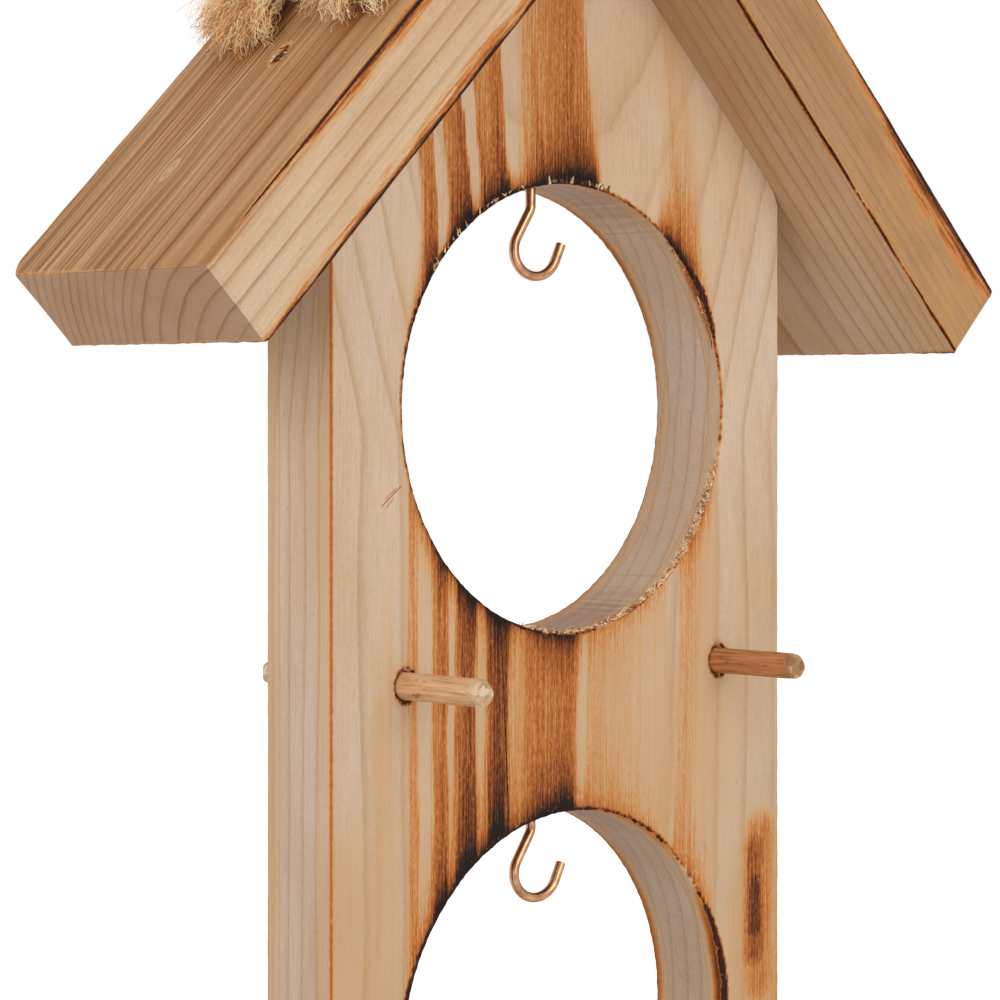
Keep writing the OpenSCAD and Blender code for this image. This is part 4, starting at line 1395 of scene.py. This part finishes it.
# %% Node group: fibres along a line
def fibre_tree():
    tree, ask = new_group("fibres along a line", "GeometryNodeTree", [
        ("Guide", "Geometry", None), ("Fibres", "Int", 100), ("Strands", "Int", 1),
        ("Fibre length", "Float", 0.03), ("Bundle radius", "Float", 0.004), ("Stray", "Float", 0.003),
        ("Curl", "Float", 0.004), ("Curl size", "Float", 90.0), ("Twist", "Float", 2.0),
        ("Thickness", "Float", 0.00012), ("Hollow", "Float", 0.0), ("Seed", "Int", 1),
        ("Material", "Material", None)], [("Fibres", "Geometry")])
    many, which, part, chance = loose_strands(tree, ask["Seed"], ask["Fibres"], 14)
    whole = add(tree, "GeometryNodeCurveLength", ask["Guide"])
    strand = add(tree, "Math.MODULO", which, ask["Strands"])
    share = add(tree, "Math.DIVIDE", ask["Fibre length"], whole)
    share = chain(tree, share, ("Math.MULTIPLY", ask["Strands"]), ("Math.MINIMUM", 0.98))
    uneven = add(tree, "MapRange", chance[0], 0.0, 1.0, 0.55, 1.0)
    share = add(tree, "Math.MULTIPLY", share, uneven)
    room = add(tree, "Math.SUBTRACT", 1.0, share)
    begin = add(tree, "Math.MULTIPLY", room, chance[1])
    at = chain(tree, part, ("Math.MULTIPLY", share), ("Math.ADD", begin))
    sample = add(tree, "GeometryNodeSampleCurve", {
        "Curves": ask["Guide"], "Factor": at, "Curve Index": strand}, mode="FACTOR")
    tangent, normal = sample.outputs["Tangent"], sample.outputs["Normal"]
    across = add(tree, "VectorMath.CROSS_PRODUCT", tangent, normal)

    turn = add(tree, "Math.MULTIPLY", chance[2], math.tau)
    wound = add(tree, "Math.MULTIPLY", at, ask["Twist"])
    turn = add(tree, "Math.ADD", turn, wound)
    spread = add(tree, "Math.SQRT", chance[3])
    spread = chain(tree, spread, ("MapRange", 0.0, 1.0, ask["Hollow"], 1.0),
                   ("Math.MULTIPLY", ask["Bundle radius"]))
    thick = add(tree, "GeometryNodeInputRadius")
    guide_size = add(tree, "GeometryNodeSampleCurve", {
        "Curves": ask["Guide"], "Value": thick, "Factor": at, "Curve Index": strand}, mode="FACTOR")
    spread = add(tree, "Math.MULTIPLY", spread, guide_size.outputs["Value"])
    off = chain(tree, part, ("Math.POWER", 2.0), ("Math.MULTIPLY", chance[4]),
                ("Math.MULTIPLY", ask["Stray"]))
    spread = add(tree, "Math.ADD", spread, off)
    one = add(tree, "Math.COSINE", turn)
    two = add(tree, "Math.SINE", turn)
    side = add(tree, "VectorMath.SCALE", normal, one)
    over = add(tree, "VectorMath.SCALE", across, two)
    away = chain(tree, side, ("VectorMath.ADD", over), ("VectorMath.SCALE", spread))

    own = add(tree, "Math.MULTIPLY", which, 0.731)
    wave = add(tree, "TexNoise", sample.outputs["Position"], own, {
        "Scale": ask["Curl size"], "Detail": 2.5}, noise_dimensions="4D")
    wave = add(tree, "VectorMath.SUBTRACT", wave.outputs["Color"], (0.5, 0.5, 0.5))
    curl = chain(tree, part, ("MapRange", 0.0, 1.0, 0.35, 1.0), ("Math.MULTIPLY", ask["Curl"]))
    wave = add(tree, "VectorMath.SCALE", wave, curl)
    spot = add(tree, "VectorMath.ADD", sample.outputs["Position"], away)
    spot = add(tree, "VectorMath.ADD", spot, wave)
    taper = add(tree, "MapRange", part, 0.5, 1.0, 1.0, 0.35)
    return sweep_strands(tree, ask, many, spot, chance[0], taper, 3)


FIBRES = fibre_tree()

print("fibres: tree of", len(FIBRES.nodes), "nodes")

# %% [markdown]
# The tree runs on a guide curve and its result is kept as a plain mesh, because an exporter takes no
# modifiers. After that the guide can go.

# %% Guides and kept meshes
def guide_curve(name, lines, sizes=None):
    """A curve along lines given in mm, whose point radius widens or narrows what follows them."""
    data = bpy.data.curves.new(name, "CURVE")
    data.dimensions = "3D"
    for line in lines:
        spline = data.splines.new("POLY")
        spline.points.add(len(line) - 1)
        for i, (point, spot) in enumerate(zip(spline.points, line)):
            point.co = (*(spot * MM), 1)
            point.radius = 1.0 if sizes is None else float(np.interp(i / (len(line) - 1), *zip(*sizes)))
    return in_scene(name, data)


def made_by_nodes(name, guide, tree, **values):
    """Runs a Geometry Nodes tree on a guide curve and keeps the result as a plain mesh. Each value goes to
    the input of its name, by the socket's identifier, and fibre_length stands for "Fibre length"."""
    modifier = guide.modifiers.new(tree.name, "NODES")
    modifier.node_group = tree
    values = {key.replace("_", " ").capitalize(): value for key, value in values.items()}
    for socket in tree.interface.items_tree:
        if socket.item_type == "SOCKET" and socket.in_out == "INPUT" and socket.name in values:
            modifier[socket.identifier] = values[socket.name]
    bpy.context.view_layer.update()
    mesh = bpy.data.meshes.new_from_object(guide.evaluated_get(bpy.context.evaluated_depsgraph_get()))
    mesh.name = name
    bpy.data.objects.remove(guide)
    return in_scene(name, mesh)

# %% [markdown]
# Jute is a dull golden brown, darker inside the lay and paler where a single fibre catches the light. Loose
# fibres take their colour from their own tone, the laid strands from fine lines along the strand.

# %% Jute materials
loose_jute, tree = new_material("frayed_jute_fibre")
tone = add(tree, "Attribute", attribute_name="tone")
here = add(tree, "TexCoord").outputs["Object"]
clump = add(tree, "TexNoise", here, {"Scale": 130.0, "Detail": 2.0})
mixed = add(tree, "Math.MULTIPLY", tone.outputs["Fac"], 0.45)
clumped = add(tree, "MapRange", clump, 0.3, 0.7, 0.0, 0.6)
mixed = add(tree, "Math.ADD", mixed, clumped)
colour = add(tree, "ValToRGB", mixed)
set_ramp(colour, [(0.0, "#b8642a"), (0.2, "#e09a50"), (0.42, "#f8c584"), (0.7, "#ffe2ac"), (1.0, "#fff2d4")])
add(tree, "OutputMaterial", add(tree, "BsdfPrincipled", colour, None, 0.75, {
    "Sheen Weight": 0.25, "Sheen Roughness": 0.5}))

laid_jute, tree = new_material("laid_jute_rope")
lay = add(tree, "UVMap", uv_map="lay")
lay = add(tree, "VectorMath.MULTIPLY", lay, (0.22, 9.0, 1.0))
lines = add(tree, "TexNoise", lay, {"Scale": 1.0, "Detail": 4.0, "Roughness": 0.65})
colour = add(tree, "ValToRGB", lines)
set_ramp(colour, [(0.25, "#8a5528"), (0.45, "#c08a50"), (0.6, "#d6aa72"), (0.78, "#eccf9e")])
bump = add(tree, "Bump", {"Height": lines, "Strength": 1.0, "Distance": 0.0004})
add(tree, "OutputMaterial", add(tree, "BsdfPrincipled", colour, None, 0.8, {
    "Normal": bump, "Sheen Weight": 0.2}))

# %% [markdown]
# Past the knot the rope comes unlaid: its yarns part and fan out over the board. So each tail has guide lines
# that start together and part to reach their own tips. Wisps and hairs follow the rope's own line.

# %% Frayed ends and stray hairs
def fibres(name, lines, seed, sizes=None, **values):
    guide = guide_curve(name + "_guide", lines, sizes)
    return made_by_nodes(name, guide, FIBRES, strands=len(lines), seed=seed, material=loose_jute, **values)


def unlaid(tail, tips, seed):
    """The yarns of a tail, which start together on its line and part to reach their own tips."""
    points = [Vector(p) for p in tail]
    last = len(points) - 1
    yarns = []
    for k, tip in enumerate(tips):
        yarn = []
        for i, p in enumerate(points):
            t = i / last
            turn = math.tau * k / len(tips) + 2.5 * t
            aside = Vector((0, math.cos(turn), math.sin(turn))) * 1.9 * (1 - t)
            sway, rise = (noise.noise(Vector((t * 3, k, chosen))) for chosen in (seed, seed + 5))
            wild = Vector((0, sway, 0.5 * rise))
            yarn.append(p + (Vector(tip) - points[-1]) * t ** 1.5 + aside + wild * 2.4 * t * (1.3 - t))
        yarns.append(smooth([rope_point(p) for p in yarn]))
    return yarns


front_tail_line = smooth([rope_point(p) for p in FRONT_TAIL])
back_tail_line = smooth([rope_point(p) for p in BACK_TAIL])
tail_sizes = [(0.0, 0.75), (0.4, 0.95), (0.75, 1.0), (1.0, 0.7)]
FRONT_TIPS = [(95, 1, 2.6), (98, -7, 2.4), (101, -14, 2.6), (102, -19, 3.0), (99, -27, 2.4), (97, -14, 7.5)]
BACK_TIPS = [(100.5, 31, 2.0), (105, 25, 2.2), (108, 17, 2.6), (109, 10, 2.4), (106, 4, 2.6), (100, 20, 8.0)]
FRAYED = {"stray": 0.0012, "curl": 0.0105, "curl_size": 270.0, "thickness": 0.00011}
WISPS = {"stray": 0.002, "curl": 0.018, "curl_size": 130.0, "thickness": 0.00009}
HAIRS = {"bundle_radius": 0.0041, "hollow": 0.9, "curl": 0.003, "twist": 6.0, "thickness": 0.00009}
front_tail = fibres("rope_front_tail_frayed", unlaid(FRONT_TAIL, FRONT_TIPS, 3), 5, tail_sizes,
                    fibres=1150, fibre_length=0.012, bundle_radius=0.0024, **FRAYED)
back_tail = fibres("rope_back_tail_frayed", unlaid(BACK_TAIL, BACK_TIPS, 8), 9, tail_sizes,
                   fibres=1600, fibre_length=0.013, bundle_radius=0.0026, **FRAYED)
front_wisps = fibres("rope_front_tail_wisps", [front_tail_line], 61, tail_sizes,
                     fibres=130, fibre_length=0.024, bundle_radius=0.0055, **WISPS)
back_wisps = fibres("rope_back_tail_wisps", [back_tail_line], 62, tail_sizes,
                    fibres=200, fibre_length=0.026, bundle_radius=0.0065, **WISPS)
front_hairs = fibres("rope_front_leg_hairs", [front_line], 14,
                     fibres=260, fibre_length=0.014, stray=0.0035, **HAIRS)
back_hairs = fibres("rope_back_leg_hairs", [back_line], 15,
                    fibres=260, fibre_length=0.014, stray=0.0035, **HAIRS)
knot_hairs = fibres("rope_knot_hairs", [knot_line()], 16,
                    fibres=500, fibre_length=0.016, stray=0.004, **HAIRS)

for piece in (front_leg, back_leg, knot):
    piece.data.materials.append(laid_jute)
for piece, node in ((front_leg, "rope_front_leg"), (back_leg, "rope_back_leg"), (knot, "rope_knot"),
                    (front_tail, "rope_front_tail"), (back_tail, "rope_back_tail")):
    fit(piece, "feeder", "jute", node)
for piece in (front_hairs, back_hairs, knot_hairs, front_wisps, back_wisps):
    fit(piece, "feeder", "jute")

# %% [markdown]


# %% [markdown]
# ## Torn fibres
# A hole saw and a driven nail both tear fibres out of softwood. They stay rooted in the edge as short pale
# slivers, and they are too small and too many to place by hand. So a Geometry Nodes tree plants them along
# guide lines: each sliver is a short bent line with its root in the wood, thinned to a point.

# %% Geometry Nodes: slivers along an edge
def sliver_tree():
    tree, ask = new_group("slivers along an edge", "GeometryNodeTree", [
        ("Guide", "Geometry", None), ("Slivers", "Int", 40), ("Edges", "Int", 1),
        ("Sliver length", "Float", 0.0015), ("Thickness", "Float", 0.0001), ("Inwards", "Float", 1.0),
        ("Sideways", "Float", 0.3), ("Outwards", "Float", 0.2), ("Face", "Vector", (0.0, -1.0, 0.0)),
        ("Seed", "Int", 1), ("Material", "Material", None)], [("Slivers", "Geometry")])
    many, which, part, chance = loose_strands(tree, ask["Seed"], ask["Slivers"], 4)
    edge = add(tree, "Math.MODULO", which, ask["Edges"])
    sample = add(tree, "GeometryNodeSampleCurve", {
        "Curves": ask["Guide"], "Factor": chance[0], "Curve Index": edge}, mode="FACTOR")
    tangent = sample.outputs["Tangent"]
    inwards = chain(tree, tangent, ("VectorMath.CROSS_PRODUCT", ask["Face"]),
                    ("VectorMath.SCALE", ask["Inwards"]))
    lean = add(tree, "MapRange", chance[1], 0.0, 1.0, -0.6, 1.4)
    lean = add(tree, "Math.MULTIPLY", lean, ask["Sideways"])
    sideways = add(tree, "VectorMath.SCALE", tangent, lean)
    lift = add(tree, "Math.MULTIPLY", chance[2], ask["Outwards"])
    outwards = add(tree, "VectorMath.SCALE", ask["Face"], lift)
    way = chain(tree, inwards, ("VectorMath.ADD", sideways), ("VectorMath.ADD", outwards),
                "VectorMath.NORMALIZE")
    size = add(tree, "MapRange", chance[3], 0.0, 1.0, 0.35, 1.0)
    size = add(tree, "Math.MULTIPLY", size, ask["Sliver length"])
    reach = chain(tree, part, ("MapRange", 0.0, 1.0, -0.35, 0.75), ("Math.MULTIPLY", size))
    step = add(tree, "VectorMath.SCALE", way, reach)
    bend = chain(tree, part, ("Math.POWER", 2.0), ("Math.MULTIPLY", size))
    curl = add(tree, "MapRange", chance[4], 0.0, 1.0, -0.25, 0.35)
    bend = add(tree, "Math.MULTIPLY", bend, curl)
    bend = add(tree, "VectorMath.SCALE", ask["Face"], bend)
    spot = add(tree, "VectorMath.ADD", sample.outputs["Position"], step)
    spot = add(tree, "VectorMath.ADD", spot, bend)
    taper = add(tree, "MapRange", part, 0.3, 1.0, 1.0, 0.12)
    return sweep_strands(tree, ask, many, spot, chance[4], taper, 4)


SLIVERS = sliver_tree()


def torn_fibre(name, stops):
    material, tree = new_material(name)
    tone = add(tree, "Attribute", attribute_name="tone")
    here = add(tree, "TexCoord").outputs["Object"]
    sooty = add(tree, "TexNoise", here, {"Scale": 700.0, "Detail": 2.0})
    mixed = chain(tree, sooty, ("MapRange", 0.3, 0.7, -0.25, 0.25), ("Math.ADD", tone.outputs["Fac"]))
    colour = add(tree, "ValToRGB", mixed)
    set_ramp(colour, stops)
    add(tree, "OutputMaterial", add(tree, "BsdfPrincipled", colour, None, 0.8))
    return material


clean_fibre = torn_fibre("torn_spruce_fibre", [
    (0.0, "#8a5530"), (0.22, "#c68c56"), (0.5, "#e0b785"), (0.8, "#eed2a8"), (1.0, "#f5e4ca")])
sooty_fibre = torn_fibre("sooty_spruce_fibre", [
    (0.0, "#24130c"), (0.35, "#6e3f20"), (0.6, "#a87244"), (0.85, "#d8ae80"), (1.0, "#ecd2ac")])
print("torn fibres: tree of", len(SLIVERS.nodes), "nodes")

# %% [markdown]
# The rims tore in places: teeth hang from the top of the upper hole, slivers lie along its left shoulder, and
# its lower right edge wears a fuzzy lip. Each place is an arc of the rim, given in degrees from +X, and the
# arcs run clockwise so that the slivers point into the hole.

# %% Slivers on the feed hole rims
def rim_arc(z, start, stop, wider, deep):
    """Points along a rim, at a radius `wider` mm more than the hole's and `deep` mm behind the front face."""
    count = max(3, int(abs(stop - start) / 3))
    angles = [math.radians(start + (stop - start) * i / count) for i in range(count + 1)]
    radius, y = HOLE_R + wider, -THICK / 2 + deep
    return [Vector((radius * math.cos(a), y, z + radius * math.sin(a))) for a in angles]


def slivers(name, lines, face, seed, material, **values):
    guide = guide_curve(name + "_guide", lines)
    piece = made_by_nodes(name, guide, SLIVERS, face=tuple(face), edges=len(lines), seed=seed,
                          material=material, **values)
    return fit(piece, "feeder", "body_wood" if "rim" in name else "roof_wood")


FRONT = (0.0, -1.0, 0.0)
LOWER, UPPER = HOLE_Z
slivers("upper_rim_teeth", [rim_arc(UPPER, 99, 76, 0.75, 0.1)], FRONT, 3, sooty_fibre,
        slivers=34, sliver_length=0.0018, thickness=0.00046, inwards=-1.0, sideways=0.5, outwards=0.02)
slivers("upper_rim_shoulder_slivers", [rim_arc(UPPER, 146, 106, 0.9, 0.05)], FRONT, 7, sooty_fibre,
        slivers=34, sliver_length=0.0017, thickness=0.00028, inwards=-0.5, sideways=1.3, outwards=0.01)
slivers("upper_rim_right_slivers", [rim_arc(UPPER, 50, 16, 0.0, 0.9)], FRONT, 12, sooty_fibre,
        slivers=60, sliver_length=0.0022, thickness=0.00018, inwards=0.25, sideways=1.2, outwards=0.2)
slivers("upper_rim_fuzzy_lip", [rim_arc(UPPER, -14, -106, -0.05, deep) for deep in (0.3, 1.0, 1.7)],
        FRONT, 20, clean_fibre,
        slivers=420, sliver_length=0.0024, thickness=0.00026, inwards=0.2, sideways=0.6, outwards=0.9)
slivers("lower_rim_slivers", [rim_arc(LOWER, 128, 84, 0.6, 0.25)], FRONT, 31, sooty_fibre,
        slivers=40, sliver_length=0.0024, thickness=0.00018, inwards=-0.5, sideways=0.9, outwards=0.1)

# %% [markdown]
# Round each nail the slivers stand up out of the crater and lean across the nail head.

# %% Slivers at the nails
def nail_rings(slope, out, nails):
    rings = []
    for s, y in nails:
        ring = []
        for i in range(9):
            a = -math.tau * i / 8 * (1 if slope.x > 0 else -1)
            ring.append(on_slope(slope, out, s + 2.5 * math.cos(a), y + 1.5 * math.sin(a), THICK - 0.35))
        rings.append(ring)
    return rings


for name, slope, out, nails, seed in (("left_roof_nail_slivers", LEFT_SLOPE, LEFT_OUT, LEFT_NAILS, 41),
                                      ("right_roof_nail_slivers", RIGHT_SLOPE, RIGHT_OUT, RIGHT_NAILS, 52)):
    slivers(name, nail_rings(slope, out, nails), out, seed, sooty_fibre, slivers=9 * len(nails),
            sliver_length=0.0032, thickness=0.00020, inwards=1.0, sideways=0.5, outwards=0.5)

# %% [markdown]
# ## Floor and light
# The photograph is a cut-out on white, so the floor and the world look white to the camera and in
# reflections, while the wood is lit by ordinary soft lamps. The floor still takes the feeder's shadow.

# %% Floor
def seen_directly(tree):
    """1 for rays from the camera, in reflections and through glass. Rays that carry light get 0."""
    ray = add(tree, "LightPath").outputs
    watched = add(tree, "Math.MAXIMUM", ray["Is Camera Ray"], ray["Is Glossy Ray"])
    return add(tree, "Math.MAXIMUM", watched, ray["Is Transmission Ray"])


floor_mesh = bpy.data.meshes.new("floor")
floor_mesh.from_pydata([(-6, -6, 0), (6, -6, 0), (6, 6, 0), (-6, 6, 0)], [], [(0, 1, 2, 3)])
floor = in_scene("floor", floor_mesh)
floor_paint, tree = new_material("matt_white_board")
glow = add(tree, "Math.MULTIPLY", seen_directly(tree), 0.75)
paint = add(tree, "BsdfPrincipled", linear("#cfcdca"), {
    "Roughness": 0.9, "Specular IOR Level": 0.1, "Emission Color": (1, 1, 1, 1), "Emission Strength": glow})
add(tree, "OutputMaterial", paint)
floor.data.materials.append(floor_paint)

# %% [markdown]
# Two large softboxes light the faces that the camera sees, one from the front and one from the left, and a
# faint one hangs above. The world fills the shadows, but the camera and the brass see it plain white.

# %% World and lamps
world = bpy.data.worlds.new("studio")
bpy.context.scene.world = world
world.use_nodes = True
tree = world.node_tree
tree.nodes.clear()
white = add(tree, "Background", (1, 1, 1, 1), 1.0)
fill = add(tree, "Background", linear("#f4f1ee"), 0.77)
add(tree, "OutputWorld", add(tree, "MixShader", seen_directly(tree), fill, white))


def lamp(name, place, aim, size, power, colour="#ffffff"):
    data = bpy.data.lights.new(name, "AREA")
    data.shape, data.size, data.size_y = "RECTANGLE", size[0], size[1]
    data.energy, data.color = power, linear(colour)[:3]
    made = in_scene(name, data)
    made.location = place
    made.rotation_euler = (Vector(aim) - Vector(place)).to_track_quat("-Z", "Y").to_euler()
    return made


key = lamp("key_softbox", (-0.1, -1.6, 0.48), (0, 0, 0.2), (0.9, 1.2), 11.3)
side = lamp("side_softbox", (-1.6, -0.25, 0.55), (0, 0, 0.2), (0.8, 1.2), 9.6)
top = lamp("top_softbox", (0.3, 0.0, 1.9), (0, 0, 0.2), (1.4, 1.4), 3.0)
print("lamps:", [light.name for light in (key, side, top)])
